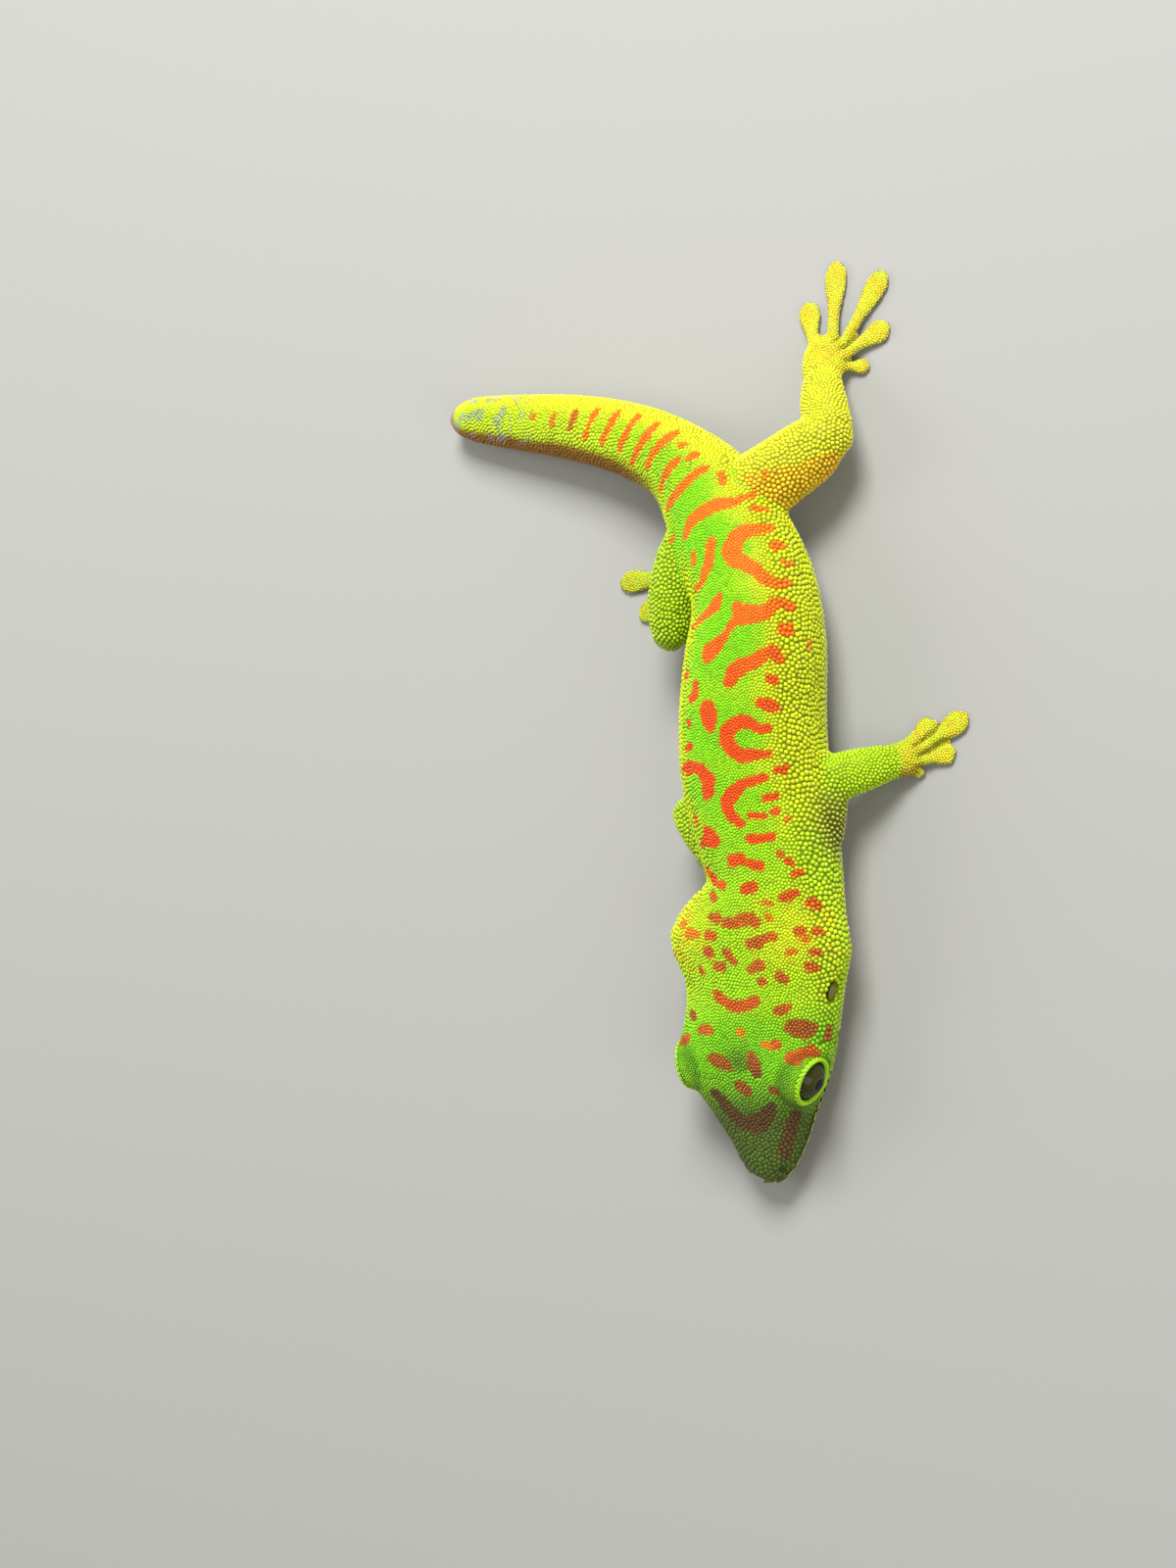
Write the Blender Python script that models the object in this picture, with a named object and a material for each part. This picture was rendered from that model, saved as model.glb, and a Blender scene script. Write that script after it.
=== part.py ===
"""Giant day gecko as a still, life-size model: belly down, head towards -Y, its left side towards +X.

One closed solid for each part of the body, with a gap of 0.3 mm where two of them meet.
"""

import math

import bmesh
import bpy
from mathutils import Matrix, Vector
from mathutils.bvhtree import BVHTree

MM = 0.001
GAP = 0.3  # mm, between two pieces that meet face to face
UP = Vector((0, 0, 1))

TRUNK_SIDES = 28
LIMB_SIDES = 12
LIMB_RINGS = (("upper", 8), ("lower", 6), ("foot", 5))
TOE_SIDES = 8
TOE_RINGS = 8

# The trunk from snout tip to tail tip, in mm: axis x and y, heights of underside and back,
# half width, the widest level as a share of the height, and squareness (2 is an ellipse).
# An underside below 0 is cut off level there, and the animal lies on that flat.
TRUNK = (
    (-0.9, -74.6, 3.5, 5.0, 0.9, 0.46, 2.1),
    (-0.8, -74.1, 2.5, 6.2, 2.6, 0.46, 2.2),
    (-0.6, -72.7, 1.8, 7.4, 4.1, 0.45, 2.3),
    (-0.2, -70.4, 1.5, 8.5, 5.6, 0.44, 2.3),
    (-0.2, -67.0, 1.2, 9.9, 7.4, 0.42, 2.3),
    (-0.5, -63.2, 0.9, 11.5, 9.1, 0.40, 2.4),
    (-0.9, -58.8, 0.7, 12.7, 11.2, 0.40, 2.4),
    (-0.6, -53.6, 0.6, 13.6, 12.9, 0.42, 2.4),
    (0.7, -48.2, 0.5, 14.6, 13.2, 0.45, 2.3),
    (1.5, -43.2, 0.4, 15.6, 13.0, 0.48, 2.2),
    (1.7, -37.5, 0.4, 16.8, 12.4, 0.48, 2.2),
    (2.5, -31.6, 0.3, 17.7, 11.3, 0.48, 2.1),
    (4.0, -27.2, 0.2, 18.3, 10.9, 0.48, 2.1),
    (3.0, -20.5, -0.2, 19.3, 11.6, 0.48, 2.2),
    (0.9, -10.5, -0.4, 20.2, 12.1, 0.48, 2.3),
    (0.4, 0.0, -0.5, 20.5, 11.9, 0.47, 2.3),
    (0.9, 10.0, -0.4, 20.0, 11.5, 0.47, 2.3),
    (0.4, 19.5, -0.2, 18.6, 10.4, 0.48, 2.2),
    (-3.8, 28.4, 0.1, 16.8, 10.2, 0.50, 2.1),
    (-9.1, 37.0, 0.2, 14.5, 8.7, 0.50, 2.0),
    (-14.4, 42.6, 0.2, 13.1, 7.0, 0.50, 2.0),
    (-22.0, 47.0, 0.1, 12.0, 6.4, 0.50, 2.0),
    (-31.0, 50.3, 0.0, 10.8, 5.9, 0.50, 2.0),
    (-39.6, 52.5, -0.1, 9.7, 5.4, 0.50, 2.0),
    (-51.2, 54.8, -0.1, 8.0, 4.6, 0.50, 2.0),
    (-57.8, 56.0, 0.1, 6.9, 3.8, 0.50, 2.0),
    (-60.7, 56.3, 0.7, 6.0, 2.6, 0.50, 2.0),
    (-62.1, 56.6, 2.0, 4.7, 1.2, 0.50, 2.0),
)
HEAD_TURN = math.radians(-7)  # the head's left side lies a little further forward than its right
HEAD_ROWS = 9  # rows of the trunk that turn with the head
EVEN_ROWS = 1.2  # rows to each side that the trunk's direction is taken over

# The trunk's pieces: the places in the rows above where each starts and ends, and its rings.
TRUNK_PIECES = (
    ("head", 0, 9.6, 26),
    ("neck", 9.6, 12, 6),
    ("torso", 12, 19, 20),
    ("tail_base", 19, 23, 12),
    ("tail_end", 23, 25, 8),
    ("tail_bud", 25, 27, 6),
)

# Places where the trunk swells over a rounded patch: centre, radius and height in mm.
SWELLS = (
    ((6.9, -58.0, 11.6), 4.6, 3.0),
    ((-8.8, -55.9, 11.6), 4.6, 3.2),
    ((13.6, -36.4, 9.0), 6.5, 3.0),
    ((-11.4, -35.2, 9.7), 6.6, 4.4),
)

# Mouth line seen from the side, as y and height in mm, from in front of the snout to the jaw joint.
MOUTH = ((-78.0, 3.3), (-71.6, 3.3), (-63.8, 3.9), (-56.0, 4.9), (-50.0, 6.2))
JAW_BACK = ((-48.0, 3.2), (-47.4, -2.0))

HEAD_AXIS_X = -0.8
EYE_RADIUS = 3.7
EYE_CENTRE = (9.1, -56.8, 9.2)  # x from the head's axis
EYE_AXIS = (0.955, -0.27, 0.08)
ORBIT_RADIUS, ORBIT_SINK = 4.7, 1.1  # the bulge round the eye, and how far inside the eye's centre it sits
LID_RADIUS, LID_THICKNESS = 3.65, 0.65
LID_LIFT = 2.2
EAR_PLACE = (-43.1, 9.7)  # y and height
EAR_PIT = (1.2, 2.0, 1.3)  # half sizes in depth, length and height
NOSTRIL_PLACE = (-72.4, 6.0)
NOSTRIL_RADIUS = 0.5
SNOUT_Y = -67.0  # in front of this the lips follow the round of the snout
LIP_TURNS = (20, 40, 60, 78)  # degrees from sideways towards the snout's tip
LIP_RADIUS, LIP_SINK = 0.8, 0.5
LIP_LIFTS = (0.95, -0.65)  # upper and lower lip's height from the mouth line
LIP_SIDES = 8

# Legs, in mm: centre x, y, z, half width and half height, from the body outwards.
LEGS = {
    "hindleg_left": {
        "upper": ((-1.5, 35.5, 8.4, 6.6, 5.0), (5.5, 39.4, 8.0, 6.0, 4.6), (10.6, 42.3, 7.6, 5.6, 4.1),
                  (13.5, 43.9, 7.2, 4.0, 3.7)),
        "lower": ((13.2, 44.7, 6.9, 4.0, 3.6), (11.2, 49.6, 5.2, 4.2, 3.3), (9.9, 54.4, 3.2, 3.5, 2.5)),
        "foot": ((9.7, 55.4, 2.6, 3.7, 2.1), (10.0, 58.6, 1.6, 4.3, 1.7), (11.0, 60.6, 1.3, 3.3, 1.3)),
        "toes": (((12.0, 56.6), (16.9, 56.5)), ((13.2, 58.7), (20.4, 62.7)), ((12.9, 60.2), (19.8, 71.6)),
                 ((11.0, 60.6), (11.4, 74.4)), ((7.8, 58.8), (6.2, 68.2))),
    },
    "foreleg_left": {
        "upper": ((4.5, -25.5, 8.4, 5.0, 5.0), (9.6, -21.8, 7.8, 4.8, 4.6), (11.4, -15.8, 7.6, 4.4, 4.2),
                  (12.0, -11.8, 8.0, 3.8, 3.6)),
        "lower": ((12.4, -11.4, 7.9, 3.9, 3.5), (16.6, -10.1, 6.0, 3.8, 3.1), (20.8, -8.7, 3.4, 3.1, 2.3)),
        "foot": ((21.6, -8.5, 2.8, 2.9, 2.0), (23.6, -8.0, 1.7, 2.9, 1.6), (25.0, -7.5, 1.3, 2.4, 1.2)),
        "toes": (((25.0, -8.6), (24.9, -10.7)), ((25.0, -8.6), (31.0, -6.9)), ((25.2, -7.2), (33.2, -1.5)),
                 ((22.6, -6.2), (27.8, -2.5)), ((22.2, -8.2), (17.6, -9.4))),
    },
    "hindleg_right": {
        "upper": ((-6.5, 33.5, 8.8, 5.0, 4.8), (-11.8, 28.0, 9.2, 4.6, 4.4), (-14.4, 20.5, 9.5, 4.3, 4.2),
                  (-14.8, 14.9, 9.4, 3.7, 3.6)),
        "lower": ((-15.2, 14.4, 8.6, 3.5, 3.4), (-15.0, 17.4, 5.6, 3.2, 2.9), (-14.0, 21.0, 3.1, 2.8, 2.2)),
        "foot": ((-14.0, 22.0, 2.6, 2.8, 2.0), (-14.6, 24.4, 1.6, 3.4, 1.7), (-15.4, 25.8, 1.3, 3.1, 1.3)),
        "toes": (((-15.8, 22.4), (-18.2, 18.4)), ((-17.0, 23.8), (-25.6, 18.6)), ((-17.6, 25.0), (-29.5, 24.9)),
                 ((-16.4, 26.8), (-19.0, 34.6)), ((-14.6, 27.4), (-15.2, 33.0))),
    },
    "foreleg_right": {
        "upper": ((-2.0, -25.5, 8.6, 5.0, 5.0), (-5.0, -22.8, 8.8, 4.4, 4.4), (-8.7, -19.2, 9.0, 3.8, 3.7),
                  (-11.2, -16.0, 9.0, 3.4, 3.3)),
        "lower": ((-11.4, -16.2, 8.2, 3.1, 3.0), (-11.2, -19.4, 5.4, 2.7, 2.5), (-10.4, -23.0, 3.0, 2.2, 1.9)),
        "foot": ((-10.3, -23.8, 2.6, 2.2, 1.9), (-10.1, -25.8, 1.7, 2.7, 1.6), (-10.0, -27.0, 1.3, 2.4, 1.2)),
        "toes": (((-8.6, -26.2), (-6.2, -28.4)), ((-9.2, -27.6), (-7.2, -33.8)), ((-10.2, -28.2), (-10.4, -37.4)),
                 ((-11.2, -27.6), (-13.6, -34.8)), ((-12.0, -25.6), (-14.0, -20.6))),
    },
}
# A toe: share of its length, height of its centre, half width and half height in mm.
# The first toe of each foot is narrower.
FIRST_TOE = 0.65
TOE_FORM = (
    (0.00, 1.30, 0.95, 0.90), (0.25, 1.15, 0.90, 0.85), (0.45, 0.90, 1.05, 0.75),
    (0.66, 0.62, 1.80, 0.66), (0.82, 0.56, 2.02, 0.62), (0.93, 0.50, 1.65, 0.56), (0.985, 0.45, 0.95, 0.42),
)

COLOURS = {
    "back_green": (0.16, 0.50, 0.02), "head_green": (0.12, 0.38, 0.03), "tail_green": (0.30, 0.48, 0.05),
    "leg_green": (0.28, 0.48, 0.04), "foot_yellow": (0.62, 0.50, 0.08), "bud_pink": (0.45, 0.16, 0.14),
    "eye_dark": (0.03, 0.035, 0.02), "ear_dark": (0.06, 0.05, 0.03), "jaw_cream": (0.48, 0.52, 0.22),
}


def blend(a, b, c, d, t):
    """Catmull-Rom value between b and c."""
    return 0.5 * (
        2 * b + (c - a) * t + (2 * a - 5 * b + 4 * c - d) * t * t + (3 * b - a - 3 * c + d) * t ** 3
    )


def row_at(rows, t):
    """The row of numbers at place t along rows, smooth between them."""
    i = max(0, min(int(t), len(rows) - 2))
    a, b = rows[max(i - 1, 0)], rows[i]
    c, d = rows[i + 1], rows[min(i + 2, len(rows) - 1)]
    return [blend(*four, t - i) for four in zip(a, b, c, d)]


def spread(start, end, count):
    return [start + (end - start) * k / (count - 1) for k in range(count)]


def trunk_plan(t):
    """Centre of the trunk in plan at row t."""
    x, y = row_at(TRUNK, t)[:2]
    return Vector((x, y, 0))


def trunk_along(t):
    """Unit direction of the trunk at row t, evened out over the rows beside it so that rings don't cross."""
    last = len(TRUNK) - 1
    return (trunk_plan(min(t + EVEN_ROWS, last)) - trunk_plan(max(t - EVEN_ROWS, 0))).normalized()


def row_step(t, distance):
    """The change of t that moves this many mm along the trunk."""
    return distance / ((trunk_plan(t + 0.01) - trunk_plan(t - 0.01)).length / 0.02)


def swell(point, centre):
    """How far a trunk point moves out from the ring's centre."""
    out = (point - centre).normalized()
    height = sum(
        tall * math.exp(-((point - Vector(place)).length / radius) ** 2) for place, radius, tall in SWELLS
    )
    return point + out * height


def trunk_ring(t, grow=0.0):
    """One closed ring of the trunk, in mm, in the upright plane across its axis."""
    _, _, low, high, half, level, square = row_at(TRUNK, t)
    place = trunk_plan(t)
    side = trunk_along(t).cross(UP)
    side.rotate(Matrix.Rotation(HEAD_TURN * max(0, min(1, (HEAD_ROWS - t) / 3)), 3, "Z"))
    middle = low + level * (high - low)
    centre = place + UP * middle
    ring = []
    for k in range(TRUNK_SIDES):
        angle = 2 * math.pi * (k + 0.5) / TRUNK_SIDES
        across = math.copysign(abs(math.cos(angle)) ** (2 / square), math.cos(angle))
        rise = math.copysign(abs(math.sin(angle)) ** (2 / square), math.sin(angle))
        reach = high - middle if rise > 0 else middle - low
        point = centre + side * across * half + UP * rise * reach
        point = swell(point, centre)
        point += (point - centre).normalized() * grow
        point.z = max(point.z, -grow)
        ring.append(point)
    return ring


def tube_rings(stations, count, sides, grow=0.0):
    """Rings of a tube with round ends through rows of x, y, z, half width and half height."""
    last = len(stations) - 1
    rings = []
    for t in spread(0, last, count):
        x, y, z, half, tall = row_at(stations, t)
        ahead = row_at(stations, min(t + 0.01, last))
        behind = row_at(stations, max(t - 0.01, 0))
        along = Vector([ahead[i] - behind[i] for i in range(3)]).normalized()
        caps = [(0.0, 1.0)]
        if t == 0:
            caps = [(-0.92, 0.4), (-0.6, 0.8), (0.0, 1.0)]
        if t == last:
            caps = [(0.0, 1.0), (0.6, 0.8), (0.92, 0.4)]
        for reach, share in caps:
            centre = Vector((x, y, z)) + along * reach * (min(half, tall) + grow)
            rings.append(section(centre, along, (half + grow) * share, (tall + grow) * share, sides, -grow))
    return rings


def section(centre, along, half, tall, sides, floor):
    """An elliptical ring across a direction, kept above the floor."""
    side = along.cross(UP).normalized()
    top = side.cross(along)
    ring = []
    for k in range(sides):
        angle = 2 * math.pi * (k + 0.5) / sides
        point = centre + side * half * math.cos(angle) + top * tall * math.sin(angle)
        point.z = max(point.z, floor)
        ring.append(point)
    return ring


def loft(name, rings, collection):
    """A closed solid through rings of equally many points, given in mm."""
    bm = bmesh.new()
    rows = [[bm.verts.new(point * MM) for point in ring] for ring in rings]
    sides = len(rings[0])
    for here, there in zip(rows, rows[1:]):
        for k in range(sides):
            after = (k + 1) % sides
            bm.faces.new((here[k], here[after], there[after], there[k]))
    bm.faces.new(rows[0])
    bm.faces.new(rows[-1])
    bmesh.ops.recalc_face_normals(bm, faces=bm.faces)
    return finish_mesh(bm, name, collection)


def finish_mesh(bm, name, collection):
    mesh = bpy.data.meshes.new(name)
    bm.to_mesh(mesh)
    bm.free()
    obj = bpy.data.objects.new(name, mesh)
    collection.objects.link(obj)
    return obj


def ball(name, centre, half_sizes, axis, collection, segments=16):
    """An ellipsoid whose first half size lies along axis, in mm."""
    bm = bmesh.new()
    bmesh.ops.create_uvsphere(bm, u_segments=segments, v_segments=segments // 2 + 2, radius=1)
    turn = Vector(axis).to_track_quat("X", "Z")
    for vert in bm.verts:
        scaled = Vector([vert.co[i] * half_sizes[i] for i in range(3)])
        vert.co = (turn @ scaled + Vector(centre)) * MM
    return finish_mesh(bm, name, collection)


def ring_tube(name, centre, axis, radius, thickness, collection):
    """A torus round an axis, in mm."""
    bpy.ops.mesh.primitive_torus_add(
        major_radius=radius * MM, minor_radius=thickness * MM, major_segments=24, minor_segments=8
    )
    obj = bpy.context.object
    obj.name = name
    turn = Vector(axis).to_track_quat("Z", "Y")
    for vert in obj.data.vertices:
        vert.co = turn @ vert.co + Vector(centre) * MM
    for other in list(obj.users_collection):
        other.objects.unlink(obj)
    collection.objects.link(obj)
    return obj


def prism(name, outline, half, collection):
    """A side outline of y and z points in mm, extruded to both sides along X."""
    bm = bmesh.new()
    verts = [bm.verts.new((-half * MM, y * MM, z * MM)) for y, z in outline]
    face = bm.faces.new(verts)
    moved = bmesh.ops.extrude_face_region(bm, geom=[face])["geom"]
    new = [v for v in moved if isinstance(v, bmesh.types.BMVert)]
    bmesh.ops.translate(bm, verts=new, vec=(2 * half * MM, 0, 0))
    bmesh.ops.recalc_face_normals(bm, faces=bm.faces)
    return finish_mesh(bm, name, collection)


def combine(obj, others, operation):
    """Apply Boolean steps with each of the others, remove them and keep the largest closed surface."""
    for other in others:
        step = obj.modifiers.new(operation.lower(), "BOOLEAN")
        step.operation = operation
        step.object = other
    mesh = evaluated_mesh(obj)
    if not mesh.polygons:  # the exact solver gave nothing, so the other one is used
        for step in obj.modifiers:
            step.solver = "MANIFOLD"
        bpy.data.meshes.remove(mesh)
        mesh = evaluated_mesh(obj)
    obj.modifiers.clear()
    old, obj.data = obj.data, mesh
    bpy.data.meshes.remove(old)
    mesh.name = obj.name
    for other in others:
        bpy.data.objects.remove(other)
    keep_largest(mesh)


def evaluated_mesh(obj):
    graph = bpy.context.evaluated_depsgraph_get()
    return bpy.data.meshes.new_from_object(obj.evaluated_get(graph))


def boxes_meet(first, second):
    """Whether the upright boxes round two objects' points overlap."""
    ends = []
    for obj in (first, second):
        points = [vert.co for vert in obj.data.vertices]
        ends.append([(min(p[i] for p in points), max(p[i] for p in points)) for i in range(3)])
    return all(a[0] < b[1] and b[0] < a[1] for a, b in zip(*ends))


def keep_largest(mesh):
    """Leave only the closed surface that holds the most volume."""
    bm = bmesh.new()
    bm.from_mesh(mesh)
    bmesh.ops.triangulate(bm, faces=bm.faces)
    left, islands = set(bm.faces), []
    while left:
        stack, island = [left.pop()], []
        while stack:
            face = stack.pop()
            island.append(face)
            for near in {link for edge in face.edges for link in edge.link_faces} & left:
                left.discard(near)
                stack.append(near)
        islands.append(island)
    islands.sort(key=volume_of)
    extra = [face for island in islands[:-1] for face in island]
    bmesh.ops.delete(bm, geom=extra, context="FACES")
    bm.to_mesh(mesh)
    bm.free()


def volume_of(triangles):
    """Six times the volume inside a closed set of triangles."""
    total = 0
    for triangle in triangles:
        a, b, c = (vert.co for vert in triangle.verts)
        total += a.dot(b.cross(c))
    return total


def on_head(point, sign):
    """A point of the head's left side, or its like on the right, turned with the head."""
    left = Vector((math.cos(HEAD_TURN), math.sin(HEAD_TURN), 0))
    return Vector((HEAD_AXIS_X, point[1], point[2])) + left * sign * point[0]


def on_surface(surface, place, sign, turn=0):
    """Where the line from a y and height on the head's axis, turned from sideways to forwards, leaves the head."""
    outward = head_direction((math.cos(turn), -math.sin(turn), 0), sign)
    start = (on_head((0, *place), sign) + outward * 30) * MM
    point, out, _, _ = surface.ray_cast(start, -outward)
    return point / MM, out


def head_direction(axis, sign):
    turned = Vector((sign * axis[0], axis[1], axis[2])).normalized()
    turned.rotate(Matrix.Rotation(HEAD_TURN, 3, "Z"))
    return turned


def mouth_height(y):
    """Height of the mouth line at y."""
    for (front, low), (back, high) in zip(MOUTH, MOUTH[1:]):
        if y <= back:
            return low + (high - low) * (y - front) / (back - front)
    return MOUTH[-1][1]


def build_lip(surface, lift, helpers):
    """A soft roll along the mouth line, from the right jaw joint round the snout to the left one."""
    sides = []
    for sign in (-1, 1):
        spots = [(y, 0) for y in spread(MOUTH[-1][0] - 1, SNOUT_Y, 8)]
        spots += [(SNOUT_Y, math.radians(turn)) for turn in LIP_TURNS]
        sides.append([on_surface(surface, (y, mouth_height(y) + lift), sign, turn) for y, turn in spots])
    path = sides[0] + sides[1][::-1]
    centres = [point - out * LIP_SINK for point, out in path]
    rings = []
    for k, centre in enumerate(centres):
        along = centres[min(k + 1, len(centres) - 1)] - centres[max(k - 1, 0)]
        radius = LIP_RADIUS * min(1, 0.55 + 0.15 * min(k, len(centres) - 1 - k))
        rings.append(section(centre, along.normalized(), radius, radius, LIP_SIDES, 0))
    return loft("lip", rings, helpers)


def build_trunk(parts):
    """Head, neck, torso and tail as lengths of one smooth form."""
    pieces = {}
    for name, start, end, count in TRUNK_PIECES:
        first = start + (row_step(start, GAP / 2) if start else 0)
        final = end - (row_step(end, GAP / 2) if end < len(TRUNK) - 1 else 0)
        pieces[name] = loft(name, [trunk_ring(t) for t in spread(first, final, count)], parts)
    return pieces


def grown_trunk(helpers):
    """The whole trunk, larger all round by the gap, to cut the legs' roots."""
    rings = [trunk_ring(t, GAP) for t in spread(0, len(TRUNK) - 1, 90)]
    return loft("trunk_cutter", rings, helpers)


def build_head(head, parts, helpers):
    """Lids, lips, eye sockets, ear pits and nostrils on the head, then the mouth parts it from the jaw."""
    pieces = {}
    surface = BVHTree.FromObject(head, bpy.context.evaluated_depsgraph_get())
    folds = [build_lip(surface, lift, helpers) for lift in LIP_LIFTS]
    cuts = []
    for side, sign in (("left", 1), ("right", -1)):
        axis = head_direction(EYE_AXIS, sign)
        centre = on_head(EYE_CENTRE, sign)
        folds.append(ball("orbit", centre - axis * ORBIT_SINK, (ORBIT_RADIUS,) * 3, axis, helpers, 20))
        folds.append(ring_tube("lid", centre + axis * LID_LIFT, axis, LID_RADIUS, LID_THICKNESS, helpers))
        cuts.append(ball("socket", centre, (EYE_RADIUS + GAP,) * 3, axis, helpers, 20))
        pieces["eye_" + side] = ball("eye_" + side, centre, (EYE_RADIUS,) * 3, axis, parts, 18)
        ear, out = on_surface(surface, EAR_PLACE, sign)
        cuts.append(ball("pit", ear - out * 0.15, EAR_PIT, out, helpers, 12))
        sizes = (0.3, EAR_PIT[1] - 0.6, EAR_PIT[2] - 0.5)
        pieces["ear_" + side] = ball("ear_" + side, ear - out * 0.7, sizes, out, parts, 10)
        nostril, out = on_surface(surface, NOSTRIL_PLACE, sign)
        cuts.append(ball("nostril", nostril, (NOSTRIL_RADIUS,) * 3, out, helpers, 10))
    combine(head, folds, "UNION")
    combine(head, cuts, "DIFFERENCE")
    jaw = head.copy()
    jaw.data = head.data.copy()
    jaw.name = jaw.data.name = "lower_jaw"
    parts.objects.link(jaw)
    below = MOUTH + JAW_BACK + ((-80.0, -2.0),)
    combine(jaw, [prism("jaw_region", below, 20, helpers)], "INTERSECT")
    above = [(y, z + GAP) for y, z in MOUTH] + [(y + GAP, z) for y, z in JAW_BACK] + [(-80.0, -2.0)]
    combine(head, [prism("jaw_space", above, 20, helpers)], "DIFFERENCE")
    pieces["lower_jaw"] = jaw
    return pieces


def toe_stations(root, tip, width):
    (x, y), (tip_x, tip_y) = root, tip
    return [(x + (tip_x - x) * s, y + (tip_y - y) * s, z, w * width, h) for s, z, w, h in TOE_FORM]


def build_leg(name, leg, parts, helpers):
    """Upper and lower leg, foot and five toes, each cut clear of those before it and of the trunk."""
    lengths = [(part, leg[part], count, LIMB_SIDES) for part, count in LIMB_RINGS]
    for number, (root, tip) in enumerate(leg["toes"], 1):
        width = FIRST_TOE if number == 1 else 1
        lengths.append((f"toe_{number}", toe_stations(root, tip, width), TOE_RINGS, TOE_SIDES))
    pieces = {}
    for place, (part, stations, count, sides) in enumerate(lengths):
        obj = loft(f"{name}_{part}", tube_rings(stations, count, sides), parts)
        cutters = [grown_trunk(helpers)]
        for _, earlier, rings, around in lengths[:place]:
            cutters.append(loft("cutter", tube_rings(earlier, rings, around, GAP), helpers))
        combine(obj, [cutter for cutter in cutters if boxes_meet(obj, cutter)], "DIFFERENCE")
        pieces[obj.name] = obj
    for helper in list(helpers.objects):
        bpy.data.objects.remove(helper)
    return pieces


def material(name):
    """A plain painted skin in the colour of its name."""
    found = bpy.data.materials.get(name)
    if found:
        return found
    made = bpy.data.materials.new(name)
    made.use_nodes = True
    shader = made.node_tree.nodes["Principled BSDF"]
    shader.inputs["Base Color"].default_value = (*COLOURS[name], 1)
    shader.inputs["Roughness"].default_value = 0.12 if name == "eye_dark" else 0.5
    return made


def colour_of(name):
    """Which colour a piece has, by the words in its name."""
    keys = (
        ("lower_jaw", "jaw_cream"), ("head", "head_green"), ("eye", "eye_dark"), ("ear", "ear_dark"),
        ("neck", "back_green"), ("torso", "back_green"), ("tail_bud", "bud_pink"), ("tail", "tail_green"),
        ("toe", "foot_yellow"), ("foot", "foot_yellow"), ("leg", "leg_green"),
    )
    return next(colour for key, colour in keys if key in name)


def main():
    for obj in list(bpy.data.objects):
        bpy.data.objects.remove(obj)
    parts = bpy.data.collections.new("giant_day_gecko")
    helpers = bpy.data.collections.new("helpers")
    for collection in (parts, helpers):
        bpy.context.scene.collection.children.link(collection)
    pieces = build_trunk(parts)
    pieces.update(build_head(pieces["head"], parts, helpers))
    for name, leg in LEGS.items():
        pieces.update(build_leg(name, leg, parts, helpers))
    holder = bpy.data.objects.new("giant_day_gecko", None)
    parts.objects.link(holder)
    for name, obj in pieces.items():
        obj.data.materials.clear()
        obj.data.materials.append(material(colour_of(name)))
        obj.data.shade_smooth()
        obj.parent = holder
    bpy.data.collections.remove(helpers)


if __name__ == "__main__":
    main()
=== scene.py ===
"""A life-size giant day gecko: skin, scales, lids, eyes and toe pads, built over a fixed frame."""

import math
from functools import cache

import bpy
import numpy as np
from mathutils import Matrix, Vector
from mathutils.bvhtree import BVHTree
from mathutils.kdtree import KDTree


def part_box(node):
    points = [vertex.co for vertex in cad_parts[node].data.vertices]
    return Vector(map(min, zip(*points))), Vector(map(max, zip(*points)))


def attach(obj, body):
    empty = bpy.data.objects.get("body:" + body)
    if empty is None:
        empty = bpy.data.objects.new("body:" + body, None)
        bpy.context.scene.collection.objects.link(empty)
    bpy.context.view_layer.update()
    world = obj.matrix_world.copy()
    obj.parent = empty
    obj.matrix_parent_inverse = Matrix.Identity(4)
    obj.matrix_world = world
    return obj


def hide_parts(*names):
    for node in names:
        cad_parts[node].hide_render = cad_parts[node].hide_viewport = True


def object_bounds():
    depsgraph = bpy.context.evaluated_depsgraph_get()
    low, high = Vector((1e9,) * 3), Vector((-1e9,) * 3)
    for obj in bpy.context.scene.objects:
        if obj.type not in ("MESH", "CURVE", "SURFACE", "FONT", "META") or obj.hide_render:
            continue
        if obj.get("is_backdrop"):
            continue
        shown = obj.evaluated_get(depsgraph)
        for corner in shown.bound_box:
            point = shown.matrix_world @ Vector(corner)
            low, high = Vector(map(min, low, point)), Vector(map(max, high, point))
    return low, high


bl_info = {
    "name": "Giant Day Gecko",
    "version": (1, 0, 0),
    "blender": (4, 5, 0),
    "location": "3D View > Sidebar > Gecko",
    "description": "A life-size giant day gecko with scales, lids and eyes over a fixed frame",
    "category": "Add Mesh",
}

MM = 0.001
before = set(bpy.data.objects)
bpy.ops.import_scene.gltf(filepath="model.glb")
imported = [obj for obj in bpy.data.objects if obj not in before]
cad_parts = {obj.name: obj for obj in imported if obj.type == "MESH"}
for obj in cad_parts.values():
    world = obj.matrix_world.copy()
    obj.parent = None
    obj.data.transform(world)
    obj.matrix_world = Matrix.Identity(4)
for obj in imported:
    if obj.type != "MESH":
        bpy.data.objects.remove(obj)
CAD_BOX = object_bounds()
kept = {}  # the finished skin, which the scales and the lids are laid on

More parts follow.
